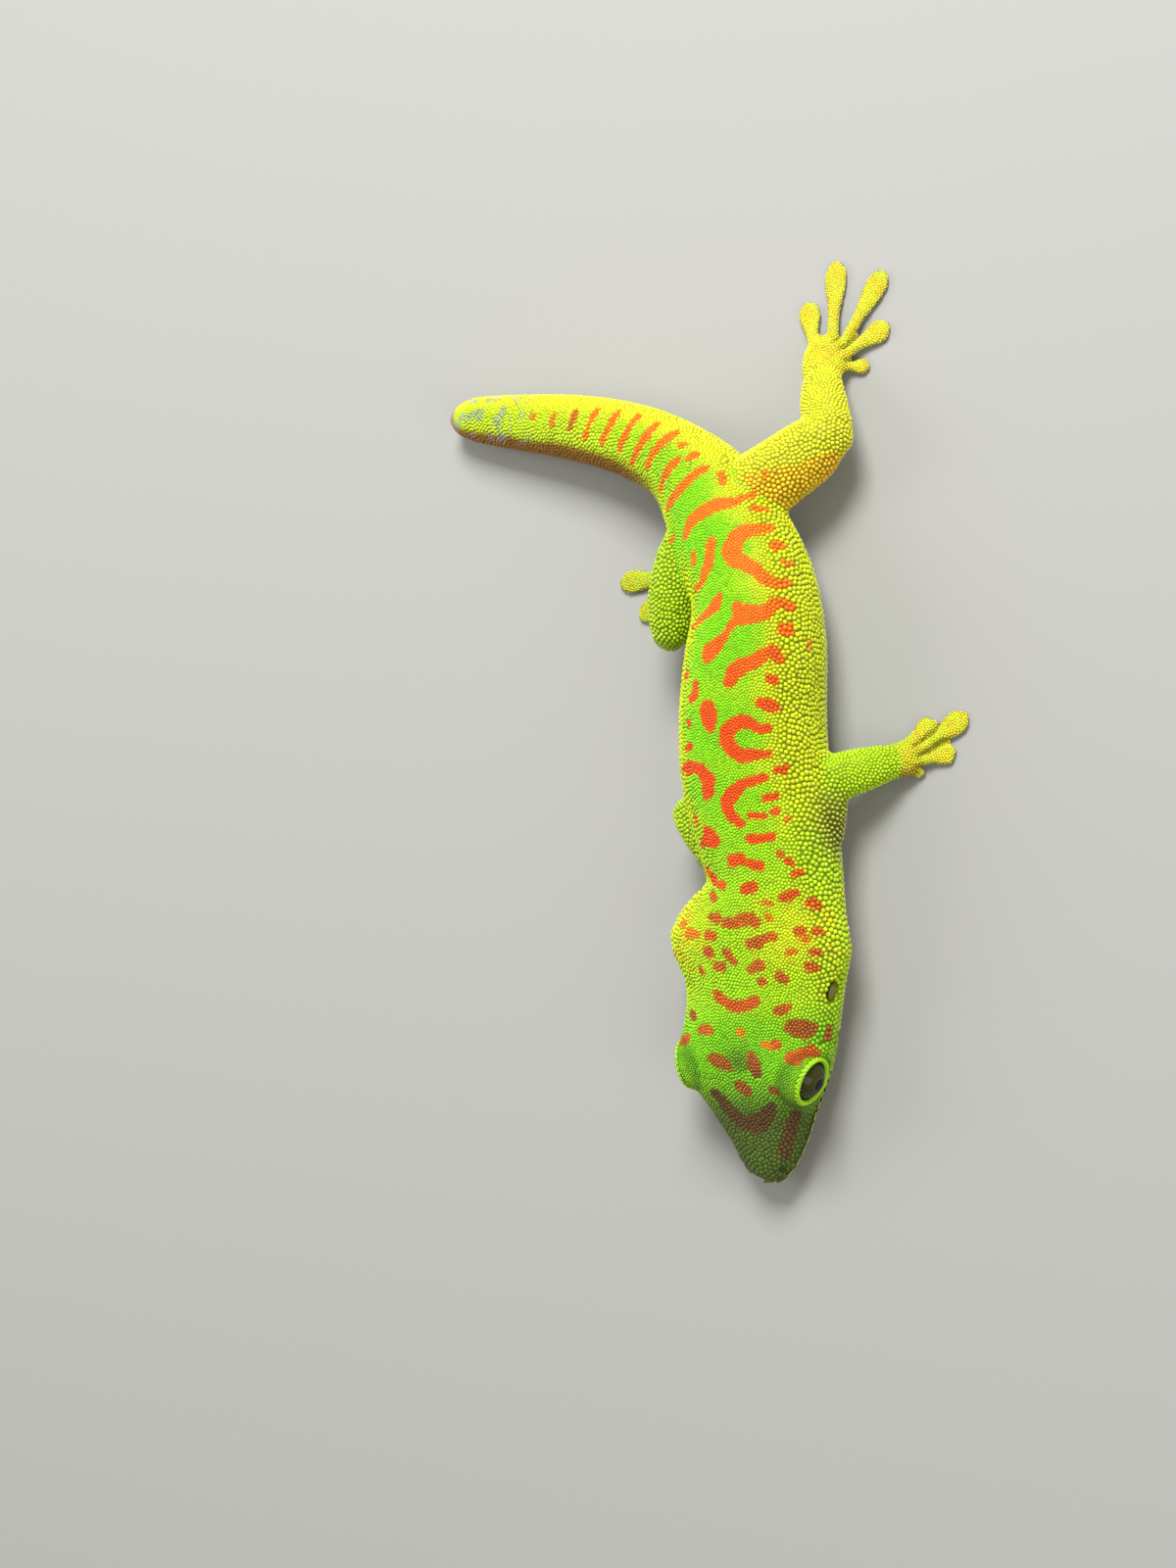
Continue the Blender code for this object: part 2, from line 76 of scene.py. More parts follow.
FLESH = [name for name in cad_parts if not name.startswith(("eye_", "ear_"))]
SIDES = {"left": 1, "right": -1}
SEED = 11
CLOSE = 0.22  # mm that each solid grows by, so that the gaps between them close
VOXEL = 0.5  # mm
MERGE = 1e-6  # metres within which two points become one
RELAX_ROUNDS = 7
TOE_RELAX = 0.25  # how much of the evening-out a toe gets
TOE_FRINGE = 0.15  # mm that the soft rim of a toe stands out beyond its solid on each side
TOE_FLATNESS = 0.55  # the height of a toe's scale, as a share of one on the body
LIMBS = ("foreleg_left", "foreleg_right", "hindleg_left", "hindleg_right")
TOES = range(1, 6)
RIDGE_STEP, RIDGE_END = 0.42, 0.75  # mm from one ridge under a toe to the next, and from the last to the tip
RIDGE_WIDTH = 0.74  # share of the toe's width
RIDGE_SIZE = (0.2, 0.18)  # half its width along the toe, and its height, mm
SCALE_SIDES = 8
DOME_RINGS = ((0.95, -0.22), (0.70, 0.70))  # each ring's share of a scale's reach and of its height
RING_SHADE = 0.92  # painted shading: how bright a scale's upper ring is beside its tint
LOWEST_SCALE, LOWEST_SKIN = 0.005, 0.03  # mm above the floor
UV_PATCH = 0.003  # width of one scale on the unwrapped skin, as a share of the whole map
PIECE_TRIANGLES = 190000  # the most in one piece

# Widths of the scales, in mm: along the trunk at each y, in its middle and on its flanks, then elsewhere.
TRUNK_SCALES = (
    (-76, 0.90, 0.95), (-68, 0.74, 0.82), (-60, 0.56, 0.68), (-52, 0.53, 0.74), (-44, 0.56, 0.86),
    (-36, 0.57, 0.96), (-27, 0.54, 0.98), (-15, 0.51, 0.98), (30, 0.50, 0.92), (45, 0.56, 0.82),
)
PART_SCALES = (
    ("lower_jaw", 0.78), ("tail_bud", 0.45), ("_upper", 0.78), ("_lower", 0.64), ("_foot", 0.52),
    ("_toe", 0.46),
)
BELLY_SCALE, EYE_SCALE = 1.0, 0.42  # underneath, and close to the eyes
PLATE_LENGTHS = (2.3, 1.8, 1.0)  # of the lips' plates, at the snout, part way back and at the jaw joint, mm
LID_ROWS = ((0.56, 0.30), (0.68, 0.33), (0.80, 0.37), (0.92, 0.42))  # share from rim to edge, scale's width
LID_PROFILE = (  # distance from the eye's axis and lift along it, less the eyeball's radius, in mm
    (-0.59, -1.89), (-0.47, -1.69), (-0.35, -1.37), (-0.17, -1.17), (0.06, -1.14), (0.29, -1.31),
    (0.46, -1.69),
)

# The head's left side lies 7 degrees further forward than its right. Its middle is at x = -0.8 mm.
HEAD_TURN = math.radians(-7)
HEAD_X = -0.8
OUTSIDE = 30  # mm from the head's middle that rays start from
EYE_AXIS = (0.955, -0.27, 0.08)  # the way the left eye looks on a head that is not turned
MOUTH = ((-78.0, 3.45), (-71.6, 3.45), (-63.8, 4.05), (-56.0, 5.05), (-50.0, 6.35))  # y and height, mm
NOSTRIL = (-72.4, 6.0)  # y and height, mm
EAR = (-43.1, 9.7)  # y and height, mm
EAR_HALF = (2.0, 1.3)  # half length and half height of the ear opening, mm
MOUTH_DIP, NOSTRIL_DIP = (0.3, 0.4), (0.55, 0.5)  # depth of the skin's dip and how wide it is, mm

# Where colours lie, in mm
ARM_PATCH = ((12.8, -18.8, 7.5), (4.4, 6.6, 6.0))  # centre and half sizes
NECK_SACS = (((9.5, -36, 12), 50), ((-10, -35, 12), 42))  # centre of each, and how far it spreads, squared
SAC_SHAPE = np.array((1, 0.8, 0.5))  # a sac is longer and taller than it is wide
SPINE_UP = np.array((-0.16, 0.0, 0.987))  # the way the skin faces along the spine
TAIL_FRONT = np.array((0.30, -0.95, 0.0))  # the way the tail's brown side faces, its brown partly painted shade
THIGH_EDGE = ((-6.0, 38.0), (0.4, 38.2), (9.8, 39.2), (15.7, 41.4), (18.0, 43.0))  # x and y in mm
# How far the marks of each colour reach beyond their strokes below, mm
MARK_SPREAD = {"flame": 0.34, "rust": 0.36, "amber": 0.28, "dark": 0.5}

# Marks: each stroke runs through places on the skin, and each place is four numbers: x, y, height and
# half width, in tenths of a mm.
MARKS = {
    "flame": (
        (-90, 286, 153, 4, -78, 307, 156, 8, -52, 324, 158, 10, -26, 332, 156, 9, -3, 335, 149, 6,
        7, 338, 143, 3), (8, 342, 141, 3, 23, 347, 127, 3), (27, 324, 140, 3, 39, 325, 129, 4,
        45, 325, 120, 3), (61, 291, 130, 4, 48, 288, 146, 7, 28, 284, 160, 9, 11, 272, 169, 12,
        4, 252, 175, 12, 15, 236, 177, 12, 37, 225, 176, 9, 57, 210, 173, 8, 71, 199, 168, 8,
        85, 193, 160, 7, 96, 196, 145, 5), (70, 258, 143, 6, 75, 261, 136, 8), (86, 230, 141, 4,
        91, 229, 133, 4), (-32, 268, 171, 5, -33, 250, 174, 7, -36, 230, 175, 8, -43, 215, 175, 5,
        -52, 201, 172, 4, -65, 195, 164, 3), (-69, 250, 164, 5, -68, 239, 164, 4), (-10, 175, 188, 5,
        -16, 162, 188, 9, -28, 153, 188, 6, -44, 145, 183, 4, -64, 135, 172, 3), (23, 157, 192, 6,
        34, 143, 193, 14, 52, 143, 190, 12, 70, 146, 182, 9, 82, 158, 172, 8, 96, 162, 157, 7,
        104, 155, 148, 5), (19, 130, 196, 5, 12, 121, 197, 3, 6, 109, 198, 5, -8, 97, 200, 10,
        -22, 89, 198, 12, -27, 77, 198, 5), (96, 118, 167, 7, 103, 121, 158, 7), (17, 38, 203, 8,
        24, 52, 203, 11, 39, 60, 200, 10, 58, 67, 195, 8, 72, 77, 188, 7, 84, 83, 181, 8, 92, 72, 175, 6),
        (81, 38, 184, 5, 85, 38, 181, 5), (-74, 57, 179, 3, -72, 51, 181, 3), (-48, 38, 195, 3,
        -50, 20, 195, 5, -61, 13, 191, 3), (-24, -5, 203, 12, -21, -19, 203, 12, -18, -34, 203, 5),
        (66, 2, 193, 4, 78, -3, 187, 7, 87, -5, 180, 5), (76, -39, 188, 4, 66, -41, 193, 4, 51, -31, 199, 6,
        38, -26, 202, 8, 24, -32, 204, 9, 12, -44, 204, 10, 13, -58, 203, 9, 23, -72, 203, 9,
        39, -82, 200, 7, 62, -80, 194, 5, 78, -79, 188, 3), (-65, -21, 190, 3, -63, -25, 191, 3),
        (-60, -60, 191, 4, -71, -61, 185, 3), (-83, -93, 174, 5, -56, -94, 191, 7, -37, -101, 197, 8,
        -23, -116, 198, 9, -25, -131, 197, 10, -30, -140, 195, 5), (72, -116, 190, 3, 54, -121, 196, 5,
        36, -126, 199, 6, 20, -139, 199, 8, 8, -150, 198, 8, 9, -163, 197, 8, 16, -177, 195, 6,
        29, -187, 194, 4), (89, -105, 181, 3, 99, -102, 174, 4), (73, -149, 189, 3, 88, -144, 182, 3),
        (48, -175, 194, 3, 69, -177, 190, 3), (85, -170, 184, 3, 89, -168, 182, 3), (-62, -174, 173, 3,
        -60, -178, 173, 3), (-35, -200, 182, 10, -20, -211, 185, 8, -52, -211, 168, 5), (46, -212, 191, 4,
        66, -210, 188, 4, 83, -207, 183, 3), (11, -243, 185, 7, 25, -242, 187, 8), (43, -250, 186, 5,
        60, -253, 184, 5), (102, -247, 171, 4, 107, -249, 168, 3), (111, -266, 164, 4, 119, -264, 158, 3),
        (-56, -255, 147, 5, -47, -263, 152, 8, -31, -273, 162, 5), (-23, -279, 168, 3, -10, -281, 173, 3),
        (32, -289, 180, 7, 46, -286, 181, 6), (91, -303, 169, 3, 101, -300, 165, 4, 111, -297, 160, 3),
        (125, -311, 149, 4, 134, -312, 141, 6, 140, -316, 134, 5), (-43, -358, 165, 6, -32, -360, 166, 4),
        (70, -362, 167, 3, 74, -363, 166, 3), (109, -356, 157, 3, 116, -353, 153, 5), (134, -357, 143, 4,
        138, -354, 138, 5), (130, -387, 142, 4, 138, -388, 138, 5), (120, -410, 142, 4, 130, -411, 136, 5),
        (-41, -450, 146, 4, -32, -460, 146, 7, -18, -468, 147, 6, 0, -472, 147, 6, 18, -469, 148, 6,
        33, -464, 150, 5), (60, -530, 139, 5, 65, -530, 138, 4), (87, -551, 136, 6, 95, -552, 132, 7,
        102, -543, 126, 6, 113, -540, 114, 5, 120, -545, 103, 3), (-111, -525, 128, 6, -102, -522, 132, 7),
        (-287, 528, 102, 3, -296, 506, 109, 3, -308, 481, 106, 3), (-243, 523, 100, 3, -255, 495, 114, 4,
        -272, 467, 110, 3), (-205, 507, 106, 4, -218, 482, 118, 4, -235, 453, 116, 3), (-165, 489, 110, 3,
        -183, 461, 124, 5, -212, 426, 113, 3), (-129, 469, 114, 4, -150, 451, 126, 5, -166, 431, 128, 4,
        -181, 411, 120, 3), (-114, 445, 125, 4, -106, 447, 122, 4), (-85, 426, 128, 5, -93, 419, 132, 4),
        (-114, 419, 134, 4, -131, 404, 134, 5, -147, 385, 128, 3, -155, 372, 121, 3), (-63, 398, 136, 4,
        -81, 387, 142, 6, -102, 370, 143, 6, -124, 352, 136, 5, -138, 340, 127, 3), (-33, 389, 131, 3,
        -28, 374, 138, 5),
    ),
    "amber": (
        (121, 105, 120, 3, 120, 94, 124, 3), (105, -178, 172, 3, 102, -183, 174, 3), (61, -311, 175, 3,
        72, -312, 173, 3), (67, -332, 171, 3, 70, -333, 171, 3), (-103, -337, 144, 4, -97, -339, 147, 4),
        (-87, -354, 154, 6, -67, -357, 160, 4), (121, -368, 150, 4, 124, -367, 148, 3), (94, -388, 158, 4,
        104, -388, 154, 3), (-2, -510, 141, 4, 2, -513, 141, 4), (42, -531, 141, 4, 52, -532, 141, 3),
        (-421, 536, 93, 3, -417, 536, 93, 3), (-373, 530, 99, 3, -378, 512, 99, 3), (-119, 292, 136, 3,
        -125, 286, 129, 3), (41, 381, 127, 3, 43, 376, 127, 3),
    ),
    "rust": (
        (90, -234, 178, 3, 92, -236, 177, 3), (-37, -296, 164, 5, -32, -301, 167, 3), (-37, -330, 167, 4,
        -26, -333, 169, 6), (-11, -342, 171, 4, 6, -341, 173, 6, 22, -338, 174, 8, 36, -335, 175, 7,
        45, -340, 173, 5), (32, -374, 169, 6, 44, -372, 168, 7, 57, -367, 168, 4), (-46, -384, 160, 6,
        -43, -387, 160, 5), (-13, -388, 164, 4, 0, -400, 163, 3), (-31, -409, 158, 6, -21, -408, 159, 4),
        (31, -413, 160, 4, 44, -407, 161, 7, 31, -401, 115, 5), (-67, -412, 149, 3, -64, -415, 149, 3),
        (46, -433, 155, 5, 50, -433, 155, 4), (76, -425, 153, 5, 84, -429, 150, 4), (67, -480, 143, 3,
        78, -475, 141, 6, 86, -472, 140, 3), (-71, -508, 136, 4, -59, -508, 138, 5), (-51, -552, 141, 5,
        -39, -558, 138, 9, -29, -563, 136, 6, -24, -566, 135, 3), (-10, -595, 129, 4, -1, -601, 127, 7,
        5, -605, 127, 5), (53, -603, 132, 4, 56, -605, 131, 4), (-329, 531, 101, 3, -338, 504, 104, 3),
    ),
    "dark": (
        (85, -504, 135, 5, 97, -506, 129, 10, 110, -507, 121, 9, 117, -506, 116, 4), (17, -552, 138, 4,
        22, -563, 139, 9, 25, -571, 139, 7), (-56, -611, 119, 6, -46, -624, 115, 8, -32, -642, 109, 9,
        -16, -654, 105, 9, 4, -659, 104, 10, 23, -650, 107, 10, 36, -638, 112, 7, 42, -628, 117, 4),
        (74, -641, 91, 5, 64, -660, 85, 6, 55, -678, 82, 7, 47, -697, 77, 7, 46, -707, 72, 4),
        (133, -510, 90, 4, 131, -519, 89, 4), (-97, -483, 124, 4, -93, -485, 126, 3),
    ),
}


def linear(hex_colour):
    """An sRGB hex colour as linear red, green and blue."""
    channels = [int(hex_colour[i:i + 2], 16) / 255 for i in (1, 3, 5)]
    return tuple(c / 12.92 if c <= 0.04045 else ((c + 0.055) / 1.055) ** 2.4 for c in channels)


def smooth(low, high, value):
    """0 up to low and 1 from high on, with an even run between them."""
    t = np.clip((value - low) / (high - low), 0, 1)
    return t * t * (3 - 2 * t)


def unit(vectors):
    """The same directions, each one long."""
    return vectors / np.maximum(np.linalg.norm(vectors, axis=-1, keepdims=True), 1e-9)


def mix(first, second, share):
    """Go from the first colours to the second by each place's share."""
    return first + (np.asarray(second) - first) * np.asarray(share)[:, None]


def all_over(tint, count):
    """The same colour for this many points."""
    return np.tile(np.array(tint), (count, 1))


def distance(places, point):
    """How far each place is from a point."""
    return np.linalg.norm(places - point, axis=1)


def groove(away, width):
    """1 in the middle of a groove and falling to 0 beside it."""
    return np.exp(-(away / width) ** 2)


def turns(sides):
    """The angles of a ring's points."""
    return 2 * math.pi * np.arange(sides) / sides


def waves(places, size, seed):
    """Smooth noise from -1 to 1 whose blobs are about size mm across."""
    rng = np.random.default_rng(seed)
    total = np.zeros(len(places))
    for _ in range(7):
        way = unit(rng.normal(size=3))
        total += np.sin(places @ way * (math.pi / size) * rng.uniform(0.7, 1.4) + rng.uniform(0, 6.3))
    return np.clip(total / 3, -1, 1)


def select_only(objects):
    """Select these objects and no others, the first of them active."""
    bpy.ops.object.select_all(action="DESELECT")
    for obj in objects:
        obj.select_set(True)
    bpy.context.view_layer.objects.active = objects[0]


def edit_all(objects, *steps):
    """Run edit-mode operators, each with its settings, on the whole of these meshes."""
    select_only(objects)
    bpy.ops.object.mode_set(mode="EDIT")
    bpy.ops.mesh.select_all(action="SELECT")
    for operator, settings in steps:
        operator(**settings)
    bpy.ops.object.mode_set(mode="OBJECT")


def apply_modifiers(obj):
    """Apply all of an object's modifiers, from the top."""
    select_only([obj])
    for modifier in list(obj.modifiers):
        bpy.ops.object.modifier_apply(modifier=modifier.name)


def add_object(name, data):
    """A new object in the scene, at the origin."""
    obj = bpy.data.objects.new(name, data)
    bpy.context.scene.collection.objects.link(obj)
    return obj


def read_all(items, key, width, kind=float):
    """One value of all of a mesh's items, as rows this wide."""
    flat = np.empty(len(items) * width, kind)
    items.foreach_get(key, flat)
    return flat.reshape(-1, width)


def mesh_points(mesh):
    """A mesh's points, in mm."""
    return read_all(mesh.vertices, "co", 3) / MM


def mesh_triangles(mesh):
    """The points of each triangle of a mesh."""
    mesh.calc_loop_triangles()
    return read_all(mesh.loop_triangles, "vertices", 3, np.int32)


def move_points(mesh, points):
    """Put a mesh's points at these places, in mm."""
    mesh.vertices.foreach_set("co", (points * MM).ravel())
    mesh.update()


def set_colours(mesh, colours):
    """Keep a linear colour for every point in the attribute 'tint'."""
    attribute = mesh.attributes.get("tint") or mesh.attributes.new("tint", "FLOAT_COLOR", "POINT")
    attribute.data.foreach_set("color", np.column_stack([colours, np.ones(len(colours))]).ravel())


class Surface:
    """A triangle mesh to find the nearest place on, in mm."""

    def __init__(self, points, triangles, normals=None):
        self.points, self.triangles, self.normals = points, triangles, normals
        self.tree = BVHTree.FromPolygons(points.tolist(), triangles.tolist(), all_triangles=True)

    def nearest(self, places):
        """Nearest places on the surface, their faces and how far away they are."""
        found = [self.tree.find_nearest(place) for place in places.tolist()]
        return tuple(np.array([hit[k] for hit in found]) for k in (0, 2, 3))

    def corners(self, faces):
        """The three corners of each of these faces."""
        return (self.points[self.triangles[faces, k]] for k in range(3))

    def at_corners(self, corner_values, places, faces):
        """Values held at the faces' corners, as they are at each place."""
        a, b, c = self.corners(faces)
        v0, v1, v2 = b - a, c - a, places - a
        d00, d01, d11 = (v0 * v0).sum(1), (v0 * v1).sum(1), (v1 * v1).sum(1)
        d20, d21 = (v2 * v0).sum(1), (v2 * v1).sum(1)
        low = np.maximum(d00 * d11 - d01 * d01, 1e-12)
        second = (d11 * d20 - d01 * d21) / low
        third = (d00 * d21 - d01 * d20) / low
        shares = np.clip(np.stack([1 - second - third, second, third], 1), 0, 1)
        return (corner_values * shares[:, :, None]).sum(1)

    def smooth_normals(self, places, faces):
        """The surface's evened-out normal at each place."""
        return unit(self.at_corners(self.normals[self.triangles[faces]], places, faces))


@cache
def frame_surface():
    """The frame's flesh as one surface, with the node of each face."""
    points, triangles, owners, start = [], [], [], 0
    for number, name in enumerate(FLESH):
        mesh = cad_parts[name].data
        points.append(mesh_points(mesh))
        triangles.append(mesh_triangles(mesh) + start)
        owners.append(np.full(len(triangles[-1]), number))
        start += len(points[-1])
    surface = Surface(np.concatenate(points), np.concatenate(triangles))
    surface.owners = np.concatenate(owners)
    return surface


def node_names(places):
    """The frame's node nearest to each place."""
    return np.array(FLESH)[frame_surface().owners[frame_surface().nearest(places)[1]]]


def in_nodes(names, *words):
    """Which names hold one of the words."""
    return np.array([any(word in name for word in words) for name in names])


def eye_distance(places):
    """How far each place is from the nearer eyeball's surface, in mm."""
    return np.min([distance(places, eye[2]) - eye[4] for eye in eye_places()], axis=0)


def nostril_distance(places):
    """How far each place is from the middle of the nearer nostril, in mm."""
    return np.min([distance(places, on_side(*NOSTRIL, sign)) for sign in SIDES.values()], axis=0)


def mouth_distance(places):
    """How far each place is from the mouth line, in mm."""
    tree = kd_tree(mouth_path(0.0)[0])
    return np.array([tree.find(place)[2] for place in places.tolist()])


def scale_size(places, normals, names):
    """Distance between the centres of neighbouring scales, in mm."""
    up = normals[:, 2]
    rows, middle, flank = np.array(TRUNK_SCALES).T
    middle, flank = (np.interp(places[:, 1], rows, widths) for widths in (middle, flank))
    size = flank + (middle - flank) * smooth(0.55, 0.98, up)
    size = np.where(in_nodes(names, "tail"), 0.66 + 0.1 * smooth(0.8, 0.2, up), size)
    size = np.where(up < -0.35, BELLY_SCALE, size)
    for word, width in PART_SCALES:
        size = np.where(in_nodes(names, word), width, size)
    size = EYE_SCALE + (size - EYE_SCALE) * smooth(0.6, 2.4, eye_distance(places))
    return size * (1 + 0.06 * waves(places, 4, 5))


def stroke_distance(places, stroke):
    """Distance from each place to a stroke's edge, in mm, negative inside it."""
    best = np.full(len(places), np.inf)
    knots = np.reshape(stroke, (-1, 4)) / 10
    for a, b in zip(knots, knots[1:]):
        line = b[:3] - a[:3]
        t = np.clip((places - a[:3]) @ line / max(line @ line, 1e-9), 0, 1)
        away = distance(places, a[:3] + t[:, None] * line)
        best = np.minimum(best, away - a[3] - t * (b[3] - a[3]))
    return best


def mark_shares(places):
    """How far each place lies inside the marks of each colour, 0 to 1."""
    shares = {}
    wobble = 0.12 * waves(places, 1.3, 21)
    for colour, strokes in MARKS.items():
        best = np.min([stroke_distance(places, stroke) for stroke in strokes], axis=0)
        shares[colour] = smooth(0.16, -0.10, best - MARK_SPREAD[colour] + wobble)
    return shares


def mark_colours(places):
    """The colour of each kind of mark at each place, since marks change along the body."""
    tints = bpy.context.scene.gecko_colours
    y = places[:, 1]
    plain = np.zeros((len(places), 3))
    ember = mix(plain + tints.flame, tints.ember, smooth(-6, 24, y))
    ember = mix(ember, tints.rust, 0.75 * smooth(-22, -36, y))
    rust = mix(plain + tints.rust, tints.dark, 0.5 * smooth(-50, -58, y))
    dark = mix(plain + tints.dark, tints.rust, 0.6 * smooth(-60, -55, y))
    return {"flame": ember, "rust": rust, "amber": plain + tints.amber, "dark": dark}


def paint_marks(places, colour, strength=1.0, bright=1.0):
    """These colours with the body's marks over them."""
    hues = mark_colours(places)
    for key, share in mark_shares(places).items():
        colour = mix(colour, hues[key] * bright, strength * share)
    return colour


def gap_shade(places, size, names):
    """How bright the skin between scales is beside them, as its own darker colour and painted shade: fine
    scales and marks have pale gaps.
    """
    low = bpy.context.scene.gecko_sizes.gap_shade
    fine = smooth(0.9, 0.5, size) * np.where(in_nodes(names, "leg_"), 0.45, 1)
    marked = np.max(list(mark_shares(places).values()), axis=0)
    snout = smooth(-59, -66, places[:, 1])
    return low + (0.72 - low) * np.maximum(np.maximum(fine * 0.85, 0.75 * marked), 0.8 * snout)


def arm_shade(places, names):
    """The dark patch on the left upper arm, partly its olive skin and partly painted shade, where small pale
    scales lie apart, 0 to 1.
    """
    arm = in_nodes(names, "foreleg_left_upper", "torso", "neck")
    away = (places - ARM_PATCH[0]) / ARM_PATCH[1]
    return np.exp(-((away ** 2).sum(1)) ** 2) * arm * smooth(-10.5, -13.5, places[:, 1])


@cache
def toe_surface(toe):
    """One toe of the frame, as a surface."""
    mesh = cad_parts[toe].data
    return Surface(mesh_points(mesh), mesh_triangles(mesh))


def toe_crease(places, names):
    """How near each place is to the gap between two toes, 0 to 1."""
    crease = np.zeros(len(places))
    for limb in LIMBS:
        near = np.nonzero(in_nodes(names, limb + "_toe", limb + "_foot"))[0]
        away = [toe_surface(f"{limb}_toe_{number}").nearest(places[near])[2] for number in TOES]
        first, second = np.sort(away, axis=0)[:2]
        crease[near] = smooth(0.8, 0.15, second - first) * smooth(1.6, 0.6, first)
    return crease


def paint(places, normals, names, on_scales=True):
    """The colour at each place, of a scale or of the skin, from where it is on the body, and its marks."""
    tints = bpy.context.scene.gecko_colours
    up, x, y = normals[:, 2], places[:, 0], places[:, 1]
    on = lambda *words: in_nodes(names, *words)
    patchy, near = waves(places, 6, 3), eye_distance(places)
    trunk, tail, forearm = on("torso", "neck", "head"), on("tail"), on("foreleg_left")
    spine = normals @ SPINE_UP
    neck = smooth(-10, -28, y) * smooth(-56, -48, y)
    sacs = trunk * np.max([np.exp(-((places - s[0]) ** 2 @ SAC_SHAPE) / s[1]) for s in NECK_SACS], axis=0)
    net = smooth(0.15, 0.65, waves(places, 1.7, 8) + waves(places, 2.9, 9) * 0.5)
    crown = smooth(-46, -52, y) * smooth(-0.5, 0.2, up)
    # A darker olive patch in the dish between the eyes: partly dull skin, partly painted shade.
    brow_shade = np.exp(-((x + 0.6) ** 2 * 0.5 + (y + 55.6) ** 2) / 4) * smooth(0.5, 0.9, up)
    # The snout is painted dull dark green, partly its own colour and partly painted shade.
    snout = smooth(-57, -65, y + 0.1 * np.abs(x)) * smooth(-0.6, 0.0, up)
    feet = on("_foot", "_toe") * np.maximum(1 - forearm, smooth(19.5, 26.5, x))
    # Painted shade: the tail's lower side and the left forefoot's side away from the main light turn
    # orange-brown, partly their own colour.
    shaded_side = np.maximum(tail * smooth(-10, -26, x), 0.7 * on("foreleg_left_foot"))
    shaded_side = shaded_side * smooth(0.1, 0.5, normals @ TAIL_FRONT + 0.08 * patchy)
    shaded_side = shaded_side * smooth(0.90, 0.64, up + 0.06 * patchy)
    thigh = on("hindleg_left_upper", "hindleg_left_lower") * (normals[:, 1] < 0.1)
    # The inner face of the left thigh is painted honey, partly its own colour and partly painted shade.
    inner = thigh * smooth(0.4, -0.4, y - np.interp(x, *np.transpose(THIGH_EDGE))) * smooth(18, 14, x)
    slate = on("tail_end", "tail_bud") * smooth(0.05, 0.45, waves(places, 1.5, 41))
    colour = all_over(tints.flank, len(places))
    for tint, share in (
        (tints.back, smooth(0.70, 1.01, spine + 0.08 * patchy) * trunk),
        (tints.tail, tail),
        # The tail's side that faces the main light is painted yellow: partly its own yellow edge, partly
        # painted light.
        (tints.yellow_and_lit, 0.8 * smooth(0.15, 0.75, normals[:, 1] + 0.1 * patchy) * tail),
        (tints.back, 0.7 * tail * smooth(0.75, 1.0, spine) * smooth(-34, -12, x)),
        (tints.yellow_and_lit, 0.35 * smooth(26, 44, y) * trunk * smooth(0.9, 0.6, up)),
        (tints.neck, 0.75 * neck * trunk),
        (tints.yellow_and_lit, 0.65 * sacs),
        (tints.amber, 0.35 * sacs * net),
        (tints.head, 0.85 * crown),
        (tints.snout, 0.7 * brow_shade),
        (tints.snout, 0.92 * snout),
        (tints.lip, 0.5 * smooth(-56, -60, y) * smooth(-0.1, -0.4, up)),
        (tints.head, 0.45 * on("_right_upper", "_right_lower")),
        (tints.tail, 0.7 * forearm),
        (tints.back, 0.3 * forearm),
        (tints.bead if on_scales else tints.olive, arm_shade(places, names)),
        (tints.yellow, 0.8 * on("hindleg_left")),
        (tints.yellow, 0.8 * feet),
        (tints.toe, 0.5 * feet * smooth(-0.3, 0.6, waves(places, 1.6, 31))),
        (tints.head, 0.3 * on("right_foot", "right_toe")),
        (tints.belly, smooth(-0.05, -0.5, up) * (1 - 0.5 * feet)),
        (tints.pad, 0.5 * on("_toe") * smooth(0.5, 0.0, up)),
        (tints.ochre, 0.9 * shaded_side),
        (tints.honey, 0.92 * inner * smooth(-0.8, -0.1, up + 0.1 * patchy)),
        (tints.slate, 0.6 * slate * smooth(0.3, 0.7, up) * smooth(-40, -50, x)),
        (tints.bud, smooth(-59.8, -61.2, x) * on("tail_bud")),
        (tints.lid, 0.6 * smooth(1.0, 0.5, near)),
    ):
        colour = mix(colour, tint, share)
    colour = mix(paint_marks(places, colour), tints.lid_rim, smooth(0.12, 0.02, near))
    # Painted shade: dark inside the nostrils and in the crease round each eye.
    shade = (1 - 0.85 * groove(nostril_distance(places), 0.55)) * (1 - 0.4 * groove(near - 1.15, 0.3))
    # Painted shade in the creases between the toes, where the skin bridging them is tinted yellow and
    # darkened.
    web = toe_crease(places, names)
    colour = mix(colour * shade[:, None], tints.yellow, 0.7 * web) * (1 - 0.5 * web)[:, None]
    return np.clip(colour, 0, 1)


def neighbour_mean(edges, count, values, rounds):
    """Even out a number held at each point of a mesh, over its edges."""
    shared = np.bincount(edges.ravel(), minlength=count)
    for _ in range(rounds):
        total = np.bincount(edges[:, 0], values[edges[:, 1]], count)
        total += np.bincount(edges[:, 1], values[edges[:, 0]], count)
        values = 0.5 * values + 0.5 * total / np.maximum(shared, 1)
    return values


def flesh_copies():
    """A loose copy of each of the frame's flesh solids, as its own object."""
    copies = []
    for name in FLESH:
        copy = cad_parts[name].copy()
        copy.data = copy.data.copy()
        for key in list(copy.keys()):
            del copy[key]
        copy.parent = None
        copy.hide_viewport = False
        bpy.context.scene.collection.objects.link(copy)
        copies.append(copy)
    return copies


